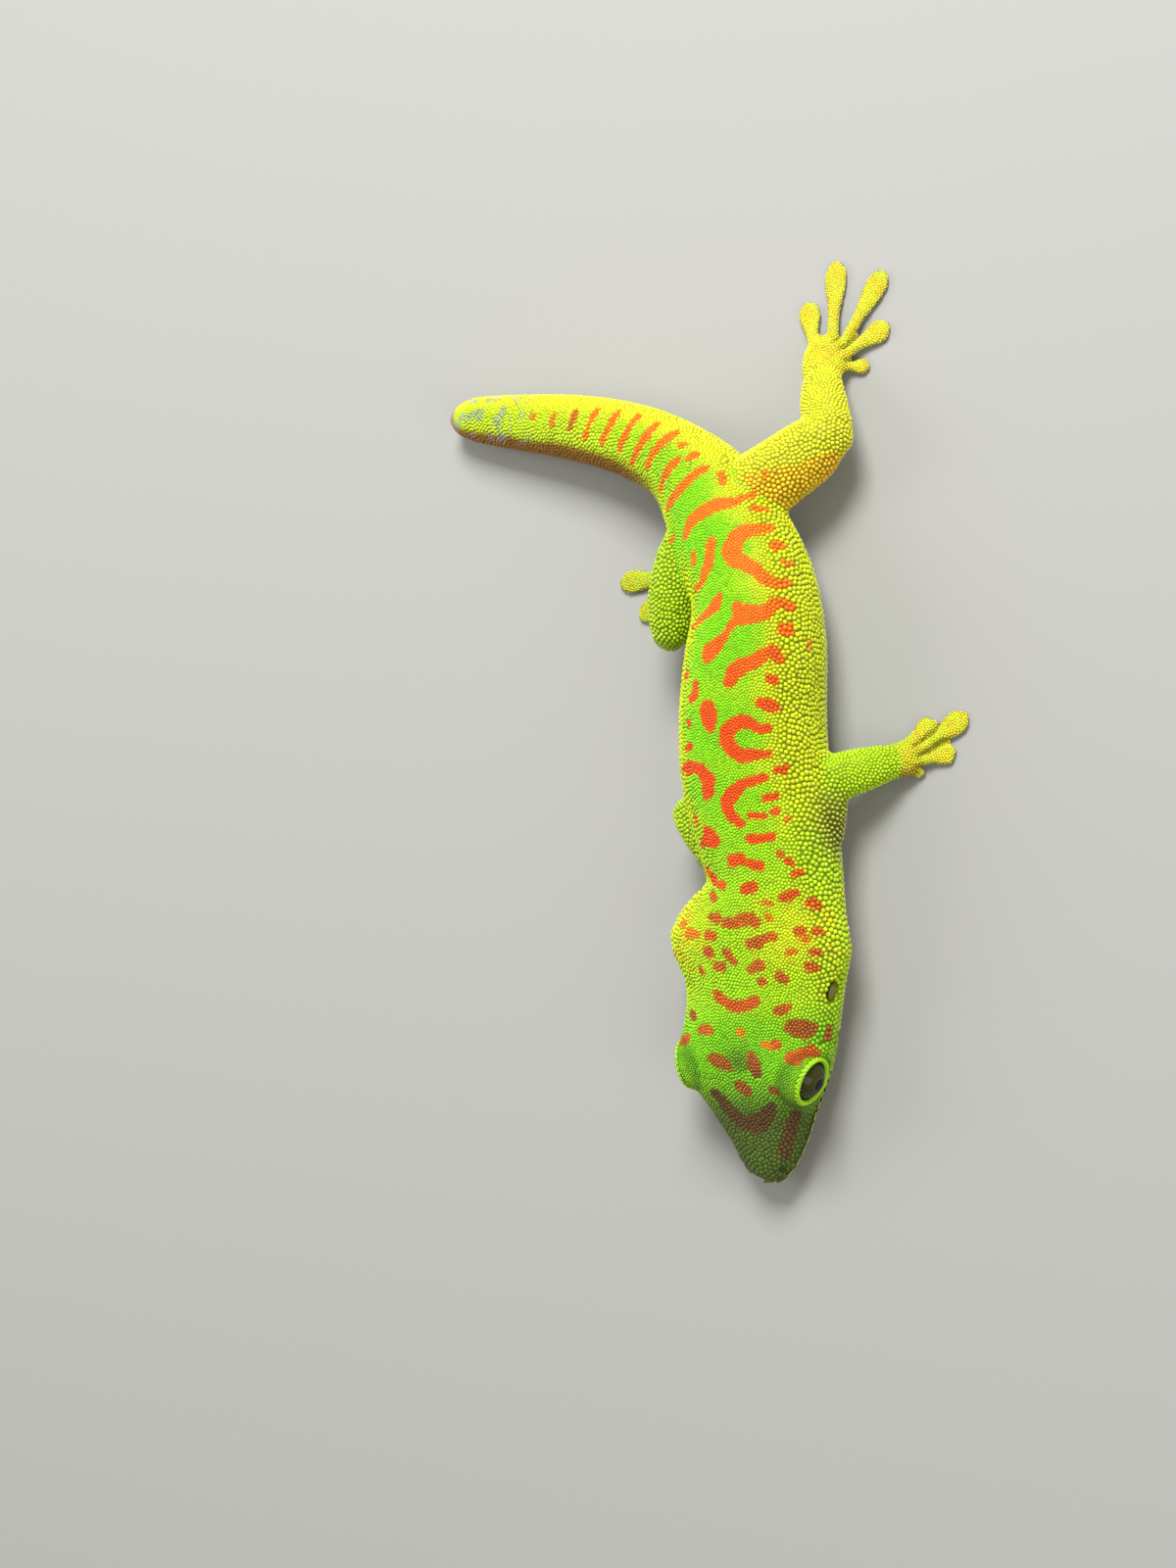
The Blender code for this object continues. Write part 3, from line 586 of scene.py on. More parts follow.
def closed_flesh():
    """The flesh as one even mesh, grown so that its gaps close, with the node that each point is of."""
    copies = flesh_copies()
    edit_all(copies, (bpy.ops.mesh.remove_doubles, {"threshold": MERGE}))
    for copy in copies:
        grow = copy.modifiers.new("grow", "DISPLACE")
        grow.strength = CLOSE * MM
        grow.mid_level = 0
        apply_modifiers(copy)
    select_only(copies)
    bpy.ops.object.join()
    skin = bpy.context.object
    skin.name = skin.data.name = "gecko_skin"
    skin.data.materials.clear()
    remesh = skin.modifiers.new("remesh", "REMESH")
    remesh.mode = "VOXEL"
    remesh.voxel_size = VOXEL * MM
    apply_modifiers(skin)
    names = node_names(mesh_points(skin.data))
    thin = in_nodes(names, "_toe")
    soft = skin.vertex_groups.new(name="soft")
    for chosen, weight in ((thin, TOE_RELAX), (~thin, 1.0)):
        soft.add(np.nonzero(chosen)[0].tolist(), weight, "REPLACE")
    relax = skin.modifiers.new("relax", "SMOOTH")
    relax.factor = 0.5
    relax.iterations = RELAX_ROUNDS
    relax.vertex_group = "soft"
    apply_modifiers(skin)
    skin.vertex_groups.clear()
    return skin, names


def skin_depth(skin, points, normals, names, height):
    """How far each point moves along its normal, so that the scales on it end at the frame."""
    thin = in_nodes(names, "_toe")
    wanted = -height * scale_size(points, normals, names) * np.where(thin, TOE_FLATNESS, 1)
    wanted += TOE_FRINGE * thin * (1 - np.abs(normals[:, 2]))
    near, _, far = frame_surface().nearest(points)
    depth = far * np.sign(((points - near) * normals).sum(1))
    shift = np.clip(wanted - depth, -0.6, 0.4)
    for number in np.nonzero(thin & (depth < 0))[0]:  # the toes lost more to the voxels
        way = frame_surface().tree.ray_cast(points[number], normals[number], 1.2)[3]
        if way is not None:
            shift[number] = way + wanted[number]
    edges = read_all(skin.data.edges, "vertices", 2, np.int32)
    once, often = (neighbour_mean(edges, len(points), shift, rounds) for rounds in (1, 4))
    shift = np.where(thin, once, often)
    shift -= 0.4 * toe_crease(points, names) * smooth(0.0, 0.4, normals[:, 2])
    for _, _, centre, _, radius in eye_places():
        away = distance(points, centre) - radius
        shift *= 1 - smooth(1.5, 0.7, away)
        shift[(away < 0.7) & (((points - centre) * normals).sum(1) < 0)] = 0.4
    return shift


def make_skin(sizes):
    """One closed skin over all the flesh, lying deeper than the frame by the height of its scales."""
    skin, names = closed_flesh()
    points, normals = mesh_points(skin.data), read_all(skin.data.vertices, "normal", 3)
    shift = skin_depth(skin, points, normals, names, sizes.height)
    points = points + normals * shift[:, None]
    for _, _, centre, axis, radius in eye_places():  # a clean round rim for each eye
        lift, flat, aside = round_axis(points - centre, axis)
        rim = (lift > 1.2) & (aside < radius + 0.5)
        wide = np.maximum(aside, radius + 0.05) / np.maximum(aside, 1e-6)
        moved = centre + flat * wide[:, None] + axis * np.minimum(lift, 2.1)[:, None]
        points[rim] = moved[rim]
    for away_from, (depth, width) in ((mouth_distance, MOUTH_DIP), (nostril_distance, NOSTRIL_DIP)):
        points = points - normals * (depth * groove(away_from(points), width))[:, None]
    points[:, 2] = np.maximum(points[:, 2], LOWEST_SKIN)
    move_points(skin.data, points)
    names, normals = node_names(points), read_all(skin.data.vertices, "normal", 3)
    # The skin shows only between the scales: it is darkened, partly its own colour and partly painted shade
    # in the grooves.
    dim = gap_shade(points, scale_size(points, normals, names), names)
    dim = dim + (0.85 - dim) * arm_shade(points, names)
    set_colours(skin.data, paint(points, normals, names, on_scales=False) * dim[:, None])
    skin.data.shade_smooth()
    kept["skin"] = Surface(points, mesh_triangles(skin.data), normals)
    finish_piece(skin, "body_skin", "scaly_hide")
    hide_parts(*FLESH)


def kd_tree(places):
    """A tree that finds the nearest of these places."""
    tree = KDTree(len(places))
    for number, place in enumerate(places.tolist()):
        tree.insert(place, number)
    tree.balance()
    return tree


def on_side(y, height, sign):
    """The place on the head's side at y and height."""
    left = Vector((math.cos(HEAD_TURN), math.sin(HEAD_TURN), 0))
    start = Vector((HEAD_X, y, height)) + left * sign * OUTSIDE
    return np.array(frame_surface().tree.ray_cast(start, -left * sign)[0])


def mouth_path(lift):
    """Places along the mouth line from the right jaw joint round the snout to the left, moved up by lift."""
    left = Vector((math.cos(HEAD_TURN), math.sin(HEAD_TURN), 0))
    middles = [(Vector((HEAD_X, y, 0)), left) for y in np.arange(-50.5, -67, -0.4)]
    for turn in np.radians(np.arange(0, 181, 4)):
        way = Vector((math.cos(turn), math.sin(turn), 0))
        way.rotate(Matrix.Rotation(HEAD_TURN, 3, "Z"))
        middles.append((Vector((0.5, -68, 0)), way))
    middles += [(Vector((HEAD_X, y, 0)), -left) for y in np.arange(-67, -50, 0.4)]
    places, normals = [], []
    for middle, way in middles:
        start = middle - way * OUTSIDE
        height = np.interp(start.y, *np.transpose(MOUTH)) if abs(way.y) < 0.2 else MOUTH[0][1]
        start.z = height + lift
        place, normal, _, _ = frame_surface().tree.ray_cast(start, way)
        if place is not None:
            places.append(place)
            normals.append(normal)
    places, normals = np.array(places), np.array(normals)
    steps = np.linalg.norm(np.diff(places, axis=0), axis=1)
    return places, normals, np.concatenate([[0], np.cumsum(steps)])


def scatter(surface, widths, seed):
    """Random places on a surface, as many to the area as their scales' width asks for."""
    rng = np.random.default_rng(seed)
    a, b, c = surface.corners(slice(None))
    wanted = np.linalg.norm(np.cross(b - a, c - a), axis=1) / 2 / (0.866 * widths ** 2)
    total = int(wanted.sum())
    faces = rng.choice(len(wanted), total, p=wanted / wanted.sum())
    u, v = rng.random(total), rng.random(total)
    over = u + v > 1
    u[over], v[over] = 1 - u[over], 1 - v[over]
    a, b, c = surface.corners(faces)
    return a + (b - a) * u[:, None] + (c - a) * v[:, None]


def settle(places, surface, rounds):
    """Push the places apart over the surface until they lie in even rows, and give their neighbours."""
    for turn in range(rounds + 1):
        if turn % 3 == 0 or turn == rounds:
            places, faces, _ = surface.nearest(places)
            normals = surface.smooth_normals(places, faces)
            size = surface.sizes[surface.triangles[faces]].mean(1)
            tree = kd_tree(places)
            near = np.array([[hit[1] for hit in tree.find_n(place, 11)][1:] for place in places.tolist()])
        if turn == rounds:
            break
        apart = places[:, None] - places[near]
        gap = np.maximum(np.linalg.norm(apart, axis=2), 1e-6)
        reach = 0.59 * (size[:, None] + size[near])
        same_side = (normals[:, None] * normals[near]).sum(2) > 0.2
        push = np.clip(1 - gap / reach, 0, 1) * same_side
        move = (apart / gap[:, :, None] * (push * reach * 0.42)[:, :, None]).sum(1)
        move -= normals * (move * normals).sum(1)[:, None]
        length = np.linalg.norm(move, axis=1)
        places = places + move * np.minimum(1, 0.3 * size / np.maximum(length, 1e-9))[:, None]
    return places, normals, size, near


def outline_reach(places, normals, near, size):
    """How far each scale reaches in each direction before it meets its neighbours."""
    along = unit(np.cross(normals, np.array([0.31, 0.22, 0.93])))
    across = np.cross(normals, along)
    apart = places[near] - places[:, None]
    a = (apart * along[:, None]).sum(2)
    b = (apart * across[:, None]).sum(2)
    gap = np.maximum(np.hypot(a, b), 1e-6)
    same_side = (normals[:, None] * normals[near]).sum(2) > 0.2
    reach = np.tile((0.62 * size)[:, None], (1, SCALE_SIDES))
    for k, angle in enumerate(turns(SCALE_SIDES)):
        facing = (a * math.cos(angle) + b * math.sin(angle)) / gap
        limit = np.where((facing > 0.25) & same_side, gap / 2 / np.maximum(facing, 0.25), np.inf)
        reach[:, k] = np.minimum(reach[:, k], limit.min(1))
    reach = np.maximum(reach, 0.22 * size[:, None])
    return 0.6 * reach + 0.4 * reach.mean(1, keepdims=True), along, across


def plate_reach(longs, tall, sides):
    """How far oblong plates with round corners reach in each direction: half lengths and half height."""
    long_share = np.abs(np.cos(turns(sides))) / np.reshape(longs, (-1, 1))
    return 1 / (long_share ** 4 + (np.abs(np.sin(turns(sides))) / tall) ** 4) ** 0.25


def dome_mesh(name, places, normals, along, across, reach, height, tints, spots, bright=1.22, foot=0.45):
    """Domes with as many sides as reach has columns, joined in one mesh: two rings and a top each.

    Bright is how much paler the tops are than their tints, as a painted highlight, and foot how dark the
    lower ring is, as painted shade."""
    count, sides = reach.shape
    angles = turns(sides)
    way = along[:, None] * np.cos(angles)[:, None] + across[:, None] * np.sin(angles)[:, None]
    rings = [
        way * (reach * wide)[:, :, None] + normals[:, None] * (tall * height)[:, None, None]
        for wide, tall in DOME_RINGS
    ]
    points = places[:, None] + np.concatenate([*rings, (normals * height[:, None])[:, None]], axis=1)
    points[:, :, 2] = np.maximum(points[:, :, 2], LOWEST_SCALE)
    per = 2 * sides + 1
    k = np.arange(sides)
    after = (k + 1) % sides
    quads = np.stack([k, after, after + sides, k + sides], 1)
    caps = np.stack([k + sides, after + sides, np.full(sides, 2 * sides)], 1)
    loops = np.concatenate([quads.ravel(), caps.ravel()]) + (np.arange(count) * per)[:, None]
    lengths = np.tile(np.repeat([4, 3], sides), count)
    mesh = bpy.data.meshes.new(name)
    mesh.vertices.add(count * per)
    mesh.vertices.foreach_set("co", (points * MM).ravel())
    mesh.loops.add(loops.size)
    mesh.loops.foreach_set("vertex_index", loops.ravel().astype(np.int32))
    mesh.polygons.add(len(lengths))
    mesh.polygons.foreach_set("loop_start", (np.cumsum(lengths) - lengths).astype(np.int32))
    mesh.update(calc_edges=True)
    # Painted light on each dome: a darker lower ring as painted shade, and a paler top as a painted
    # highlight.
    shade = np.empty((count, per))
    shade[:, :sides] = np.reshape(foot, (-1, 1))
    shade[:, sides:-1] = RING_SHADE
    shade[:, -1] = bright
    set_colours(mesh, np.clip(tints[:, None] * shade[:, :, None], 0, 1).reshape(-1, 3))
    layer = mesh.uv_layers.new(name="OFBake")
    ring = np.stack([np.cos(angles), np.sin(angles)], 1)
    patch = np.concatenate([ring, ring * 0.6, np.zeros((1, 2))]) * UV_PATCH / 2
    uvs = (spots[:, None] + patch).reshape(-1, 2)
    layer.data.foreach_set("uv", uvs[loops.ravel()].ravel())
    mesh.shade_smooth()
    mesh.validate()
    return add_object(name, mesh)


@cache
def unwrap_skin():
    """Unwrap a light copy of the frame's flesh, to place each scale's patch by."""
    copies = flesh_copies()
    select_only(copies)
    bpy.ops.object.join()
    light = bpy.context.object
    edit_all(
        [light], (bpy.ops.mesh.remove_doubles, {"threshold": MERGE}),
        (bpy.ops.uv.smart_project, {"angle_limit": math.radians(66), "island_margin": 0.002}),
    )
    surface = Surface(mesh_points(light.data), mesh_triangles(light.data))
    loops = read_all(light.data.loop_triangles, "loops", 3, np.int32)
    surface.uvs = read_all(light.data.uv_layers.active.data, "uv", 2)[loops]
    bpy.data.objects.remove(light)
    return surface


def bake_spots(places):
    """Where each place lies on the unwrapped skin."""
    surface = unwrap_skin()
    found, faces, _ = surface.nearest(places)
    return surface.at_corners(surface.uvs[faces], found, faces)


def finish_piece(obj, slot, material):
    """Give a piece its material and its body. Its slot is not used."""
    obj.data.materials.clear()
    obj.data.materials.append(bpy.data.materials[material])
    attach(obj, "root")


def eye_places():
    """Each eye's side, sign, centre, axis and radius, from the frame."""
    for side, sign in SIDES.items():
        low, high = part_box("eye_" + side)
        axis = Vector((sign * EYE_AXIS[0], *EYE_AXIS[1:])).normalized()
        axis.rotate(Matrix.Rotation(HEAD_TURN, 3, "Z"))
        yield side, sign, np.array((low + high) / 2) / MM, np.array(axis), (high.z - low.z) / 2 / MM


def round_axis(offsets, axis):
    """Each offset's length along an axis, its way off the axis, and how far that is."""
    lift = offsets @ axis
    flat = offsets - lift[:, None] * axis
    return lift, flat, np.linalg.norm(flat, axis=1)


def room_for_scales(places, normals, names, lip):
    """Which places are clear of the eyes, the lips, the nostrils, the ears and the toes' creases."""
    keep = (toe_crease(places, names) < 0.5) | (normals[:, 2] > 0.2)
    for _, sign, centre, axis, radius in eye_places():
        out = places - centre
        away = np.linalg.norm(out, axis=1)
        lift, _, aside = round_axis(out, axis)
        keep &= ~((aside < radius + 0.5) & (lift > 1.7))
        keep &= ~(((out * normals).sum(1) < 0.1 * away) & (away < radius + 0.9))
        keep &= away > radius + 0.05
        from_ear = (places - on_side(*EAR, sign)) / (3.0, *EAR_HALF)
        keep &= (from_ear ** 2).sum(1) > 1
    return keep & (mouth_distance(places) > lip + 0.25) & (nostril_distance(places) > 0.65)


def make_scales(sizes):
    """Granular scales over the whole skin, parted into pieces by where they lie."""
    surface = kept["skin"]
    surface.sizes = scale_size(surface.points, surface.normals, node_names(surface.points)) * sizes.spread
    places = scatter(surface, surface.sizes[surface.triangles].mean(1), SEED)
    rounds = sizes.rounds
    places, normals, size, near = settle(places, surface, rounds)
    reach, along, across = outline_reach(places, normals, near, size)
    names = node_names(places)
    up, y = normals[:, 2], places[:, 1]
    on = lambda *words: in_nodes(names, *words)
    flatness = 1 - 0.55 * smooth(-0.1, -0.5, up)
    flatness *= np.where(on("_toe", "tail_bud"), TOE_FLATNESS, 1)
    flatness *= 1 - 0.5 * smooth(-57, -66, y)
    height = sizes.height * size * flatness * (0.6 + 0.4 * reach.mean(1) / (0.5 * size))
    # The lower ring of each scale is darkened like the skin between the scales, as painted shade.
    foot = gap_shade(places, size, names)
    reach = reach * (1 - 0.4 * arm_shade(places, names))[:, None]
    rng = np.random.default_rng(SEED + 1)
    uneven = 1 + 0.10 * rng.normal(size=(len(places), 1)) + 0.03 * rng.normal(size=(len(places), 3))
    tints, spots = paint(places, normals, names) * uneven, bake_spots(places)
    keep = room_for_scales(places, normals, names, sizes.lip)
    legs, left, head = on("leg_"), on("_left_"), on("head", "lower_jaw")
    tail, bud = on("tail"), on("tail_bud")
    under = (up < -0.2) & ~legs
    trunk = ~(legs | tail | head | under)
    for name, slot, chosen in (
        ("head_scales", "head_skin", head & ~under),
        ("throat_and_belly_scales", "body_skin", under & (y < 28)),
        ("vent_scales", "tail_skin", under & (y >= 28)),
        ("neck_scales", "body_skin", trunk & (y < -24)),
        ("shoulder_scales", "body_skin", trunk & (y >= -24) & (y < -7)),
        ("middle_scales", "body_skin", trunk & (y >= -7) & (y < 9)),
        ("rump_scales", "body_skin", trunk & (y >= 9) & (y < 24)),
        ("hip_scales", "body_skin", trunk & (y >= 24)),
        ("tail_scales", "tail_skin", tail & ~under & ~bud),
        ("tail_tip_scales", "tail_tip_skin", bud & ~under),
        ("left_leg_scales", "leg_skin", legs & left),
        ("right_leg_scales", "leg_skin", legs & ~left),
    ):
        chosen = np.nonzero(chosen & keep)[0]
        parts = max(1, math.ceil(len(chosen) / (PIECE_TRIANGLES // (3 * SCALE_SIDES))))
        for number, part in enumerate(np.array_split(chosen, parts), 1):
            rows = (a[part] for a in (places, normals, along, across, reach, height, tints, spots))
            obj = dome_mesh(name if parts == 1 else f"{name}_{number}", *rows, foot=foot[part])
            finish_piece(obj, slot, "scale_keratin")


def make_lips(sizes):
    """Two rows of long plates along the mouth, above and below its line."""
    for name, sign, slot, pale in (
        ("upper_lip_scales", 1, "head_skin", 0.3), ("lower_lip_scales", -1, "jaw_skin", 0.75),
    ):
        path, facing, run = mouth_path(sign * (sizes.lip / 2 + 0.12))
        cuts = [0.0]
        while cuts[-1] < run[-1]:
            cuts.append(cuts[-1] + np.interp(abs(cuts[-1] / run[-1] - 0.5), (0, 0.3, 0.5), PLATE_LENGTHS))
        middles = (np.array(cuts[1:]) + np.array(cuts[:-1])) / 2
        middles = middles[middles < run[-1]]
        halves = np.diff(cuts)[:len(middles)] / 2
        at = lambda rows, where: np.stack([np.interp(where, run, rows[:, k]) for k in range(3)], 1)
        places, normals = at(path, middles), unit(at(facing, middles))
        along = unit(at(path, middles + 0.3) - at(path, middles - 0.3))
        normals = unit(normals - along * (normals * along).sum(1)[:, None])
        reach = plate_reach(halves * 0.98, sizes.lip / 2, 16)
        pale, height = np.full(len(places), pale), np.full(len(places), 0.24)
        colours = paint(places, normals, node_names(places))
        colours = mix(colours, bpy.context.scene.gecko_colours.lip, pale)
        obj = dome_mesh(
            name, places - normals * 0.3, normals, along, np.cross(normals, along), reach, height, colours,
            bake_spots(places), bright=1.05, foot=0.6,
        )
        finish_piece(obj, slot, "scale_keratin")


def lid_point(eye, angle, share):
    """A place on the lid: angle goes round from the snout's side over the top, share from rim to edge."""
    _, sign, centre, axis, radius = eye
    top = unit(np.array([0, 0, 1.0]) - axis * axis[2])
    out = np.cross(axis, top) * sign * math.cos(angle) + top * math.sin(angle)
    wide = 0.2 * max(0.0, math.sin(angle + 0.3)) ** 1.5
    row = share * (len(LID_PROFILE) - 1)
    aside, lift = (np.interp(row, range(len(LID_PROFILE)), values) for values in zip(*LID_PROFILE))
    return centre + out * (radius + aside + wide * share) + axis * (radius + lift + 0.25 * wide * (1 - share))


def make_lids(sizes):
    """A raised band of fine skin round each eye, wide above and in front, narrow below."""
    tints = bpy.context.scene.gecko_colours
    around, across = 72, 13
    for eye in eye_places():
        side, sign, centre, axis, radius = eye
        points = np.array([
            lid_point(eye, angle, j / (across - 1)) for angle in turns(around) for j in range(across)
        ])
        near, faces, _ = kept["skin"].nearest(points)
        sunk = near - kept["skin"].smooth_normals(near, faces) * 0.15
        share = np.tile(smooth(0.72, 1.0, np.linspace(0, 1, across)), around)
        points = points + (sunk - points) * share[:, None]
        faces = []
        for k in range(around):
            for j in range(across - 1):
                a, b = k * across + j, ((k + 1) % around) * across + j
                faces.append((a, b, b + 1, a + 1) if sign > 0 else (a, a + 1, b + 1, b))
        mesh = bpy.data.meshes.new("lid_" + side)
        mesh.from_pydata((points * MM).tolist(), [], faces)
        obj = add_object("lid_" + side, mesh)
        edit_all([obj], (bpy.ops.mesh.normals_make_consistent, {"inside": False}))
        wall = obj.modifiers.new("wall", "SOLIDIFY")
        wall.thickness = 0.2 * MM
        wall.offset = -1
        finer = obj.modifiers.new("finer", "SUBSURF")
        finer.levels = finer.render_levels = 1
        apply_modifiers(obj)
        places = mesh_points(obj.data)
        aside = round_axis(places - centre, axis)[2]
        colour = paint_marks(places, all_over(tints.lid, len(places)) * 0.8, strength=0.9, bright=0.7)
        colour = mix(colour, tints.lid_rim, smooth(radius - 0.36, radius - 0.46, aside))
        set_colours(obj.data, colour)
        obj.data.shade_smooth()
        finish_piece(obj, "head_skin", "lid_skin")
        make_lid_scales(eye)


def make_lid_scales(eye):
    """Rows of very small scales round the lid."""
    side, _, centre, axis, radius = eye
    places, normals, sizes = [], [], []
    for share, pitch in LID_ROWS:
        count = int(2 * math.pi * (radius + 0.3) / pitch)
        for k in range(count):
            angle = 2 * math.pi * (k + 0.5 * (len(sizes) % 2)) / count
            here = lid_point(eye, angle, share)
            inner, beside = lid_point(eye, angle, share - 0.06), lid_point(eye, angle + 0.05, share)
            normal = unit(np.cross(here - inner, beside - here))
            normals.append(normal if normal @ axis > 0 else -normal)
            places.append(here)
            sizes.append(pitch)
    places, normals, sizes = np.array(places), np.array(normals), np.array(sizes)
    near, faces, _ = kept["skin"].nearest(places)
    out = kept["skin"].smooth_normals(near, faces)
    places = places + out * np.maximum(0, 0.1 - ((places - near) * out).sum(1))[:, None]
    along = unit(np.cross(axis, places - centre))
    along = unit(along - normals * (along * normals).sum(1)[:, None])
    rng = np.random.default_rng(SEED + 5)
    reach = 0.5 * sizes[:, None] * rng.uniform(0.9, 1.08, (len(sizes), SCALE_SIDES))
    colours = np.array(bpy.context.scene.gecko_colours.lid) * rng.uniform(0.85, 1.15, (len(sizes), 1))
    obj = dome_mesh(
        "lid_scales_" + side, places, normals, along, np.cross(normals, along), reach, 0.2 * sizes,
        paint_marks(places, colours, strength=0.9), bake_spots(places), bright=1.15, foot=0.65,
    )
    finish_piece(obj, "head_skin", "scale_keratin")


def make_eyes():
    """A wet eyeball with a dark iris, a round pupil and a slight bulge over it."""
    tints = bpy.context.scene.gecko_colours
    for side, _, centre, axis, radius in eye_places():
        bpy.ops.object.select_all(action="DESELECT")
        bpy.ops.mesh.primitive_uv_sphere_add(segments=64, ring_count=48, radius=radius * MM)
        eye = bpy.context.object
        eye.name = eye.data.name = "eyeball_" + side
        turn = Vector(axis).to_track_quat("Z", "Y").to_matrix()
        places = mesh_points(eye.data)
        angle = np.arccos(np.clip(places[:, 2] / radius, -1, 1))
        places *= (1 + 0.045 * np.exp(-(angle / 0.55) ** 2))[:, None]
        ray = np.arctan2(places[:, 1], places[:, 0])
        streak = 0.5 + 0.5 * np.sin(ray * 37 + 2 * np.sin(ray * 5)) * np.sin(ray * 23 + 1)
        colour = all_over(tints.iris, len(places)) * (0.75 + 0.5 * streak)[:, None]
        colour = mix(colour, tints.iris_ring, smooth(0.40, 0.36, angle) * smooth(0.30, 0.34, angle))
        colour = mix(colour, tints.pupil, smooth(0.33, 0.29, angle))
        # Painted shade: the eyeball's side within the socket is as dark as the pupil.
        colour = mix(colour, tints.pupil, smooth(0.85, 1.15, angle))
        places = places @ np.array(turn).T + centre
        move_points(eye.data, places)
        set_colours(eye.data, colour)
        eye.data.shade_smooth()
        finish_piece(eye, "eye", "wet_eye")
        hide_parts("eye_" + side)


def make_ears():
    """A thin drum at the bottom of each ear opening: the frame's own cup with the drum's material."""
    for side in SIDES:
        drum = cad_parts["ear_" + side].data
        drum.materials.clear()
        drum.materials.append(bpy.data.materials["ear_drum_skin"])


def make_toe_pads():
    """Cross ridges under each toe's pad, which lie on the floor."""
    tint = bpy.context.scene.gecko_colours.pad
    for limb in LIMBS:
        places, along, across, halves = [], [], [], []
        foot = mesh_points(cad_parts[limb + "_foot"].data).mean(0)
        for number in TOES:
            points = mesh_points(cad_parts[f"{limb}_toe_{number}"].data)
            middle = points.mean(0)
            way = unit((middle - foot) * (1, 1, 0))
            side = np.array([-way[1], way[0], 0])
            run = (points - middle) @ way
            for step in np.arange(np.percentile(run, 45), run.max() - RIDGE_END, RIDGE_STEP):
                here = points[np.abs(run - step) < 0.7]
                if len(here) < 4:
                    continue
                offset = (here - middle) @ side
                low, high = offset.min(), offset.max()
                place = middle + way * step + side * (high + low) / 2
                places.append((place[0], place[1], max(0.2, here[:, 2].min() + 0.14)))
                along.append(side)
                across.append(-way)
                halves.append((high - low) / 2 * RIDGE_WIDTH)
        places, count = np.array(places), len(places)
        obj = dome_mesh(
            limb + "_toe_pads", places, np.tile((0.0, 0.0, -1.0), (count, 1)), np.array(along),
            np.array(across), plate_reach(halves, RIDGE_SIZE[0], SCALE_SIDES),
            np.full(count, RIDGE_SIZE[1]), all_over(tint, count), bake_spots(places), bright=1.0,
        )
        finish_piece(obj, "foot_skin", "scale_keratin")


def add_node(tree, kind, links=(), **settings):
    """A shader node with its settings, and its inputs set or linked by name."""
    node = tree.nodes.new(kind)
    for key, value in settings.items():
        setattr(node, key, value)
    for socket, value in links:
        if isinstance(value, bpy.types.NodeSocket):
            tree.links.new(value, node.inputs[socket])
        else:
            node.inputs[socket].default_value = value
    return node


def new_material(name, pattern=None, tinted=True, **inputs):
    """A Principled material with these inputs. Where it is tinted, each point's tint colours it.

    A pattern is a texture's kind, output and scale, then its bump's strength, depth in metres, and
    whether it is turned inwards."""
    material = bpy.data.materials.new(name)
    material.use_nodes = True
    tree = material.node_tree
    shader = tree.nodes["Principled BSDF"]
    for key, value in inputs.items():
        shader.inputs[key.replace("_", " ")].default_value = value
    if tinted:
        tint = add_node(tree, "ShaderNodeAttribute", attribute_name="tint")
        tree.links.new(tint.outputs["Color"], shader.inputs["Base Color"])
    if pattern:
        kind, output, scale, strength, depth, inwards = pattern
        place = add_node(tree, "ShaderNodeTexCoord")
        grain = add_node(tree, kind, [("Vector", place.outputs["Object"]), ("Scale", scale)])
        relief = [("Height", grain.outputs[output]), ("Strength", strength), ("Distance", depth)]
        bump = add_node(tree, "ShaderNodeBump", relief, invert=inwards)
        tree.links.new(bump.outputs["Normal"], shader.inputs["Normal"])


def make_materials():
    """The materials of the gecko and of the floor."""
    tints = bpy.context.scene.gecko_colours

    # Scale keratin: each scale is a small horny dome. Its top dries satin, and the grease of the
    # skin between the scales shines a little. Light enters it a short way and comes out warmer.
    # Its grain is finer than can be seen, and is drawn 0.2 mm across so that it shows.
    new_material(
        "scale_keratin", ("ShaderNodeTexNoise", "Fac", 5200.0, 0.25, 0.00002, False), Roughness=0.42,
        IOR=1.54, Specular_IOR_Level=0.3, Subsurface_Weight=0.06, Subsurface_Scale=0.0004,
        Subsurface_Radius=(1.0, 0.6, 0.25),
    )

    # Scaly hide: the thin soft skin that shows in the grooves between the scales, and more of it on
    # the toes. It is darker than the scales, partly its own colour and partly painted shade, and dull.
    new_material(
        "scaly_hide", Roughness=0.6, IOR=1.45, Specular_IOR_Level=0.3, Subsurface_Weight=0.15,
        Subsurface_Scale=0.0008, Subsurface_Radius=(1.0, 0.5, 0.2),
    )

    # Lid skin: a fold of fine skin round the eye, with grains of about a quarter of a millimetre.
    new_material(
        "lid_skin", ("ShaderNodeTexVoronoi", "Distance", 3800.0, 0.6, 0.00005, True), Roughness=0.45,
        IOR=1.45, Subsurface_Weight=0.15, Subsurface_Scale=0.0006, Subsurface_Radius=(1.0, 0.7, 0.25),
    )

    # Wet eye: a clear scale covers the whole eyeball, so it is smooth and wet. The iris behind it
    # is dull brown with fine radial folds.
    new_material(
        "wet_eye", Roughness=0.5, IOR=1.336, Specular_IOR_Level=0.2, Coat_Weight=0.45, Coat_Roughness=0.04,
        Coat_IOR=1.376,
    )

    # Ear drum: a thin stretched membrane at the bottom of the ear opening, brown from what is
    # behind it, and smoother than the skin round it. Its soft folds are about a millimetre wide.
    new_material(
        "ear_drum_skin", ("ShaderNodeTexNoise", "Fac", 900.0, 0.4, 0.0001, False), tinted=False,
        Base_Color=(*tints.ear, 1), Roughness=0.45, IOR=1.4, Subsurface_Weight=0.1, Subsurface_Scale=0.0006,
    )

    # Matt paint: the plain pale floor of the stage.
    new_material("pale_floor", tinted=False, Base_Color=(*tints.floor, 1), Roughness=0.9, IOR=1.4)


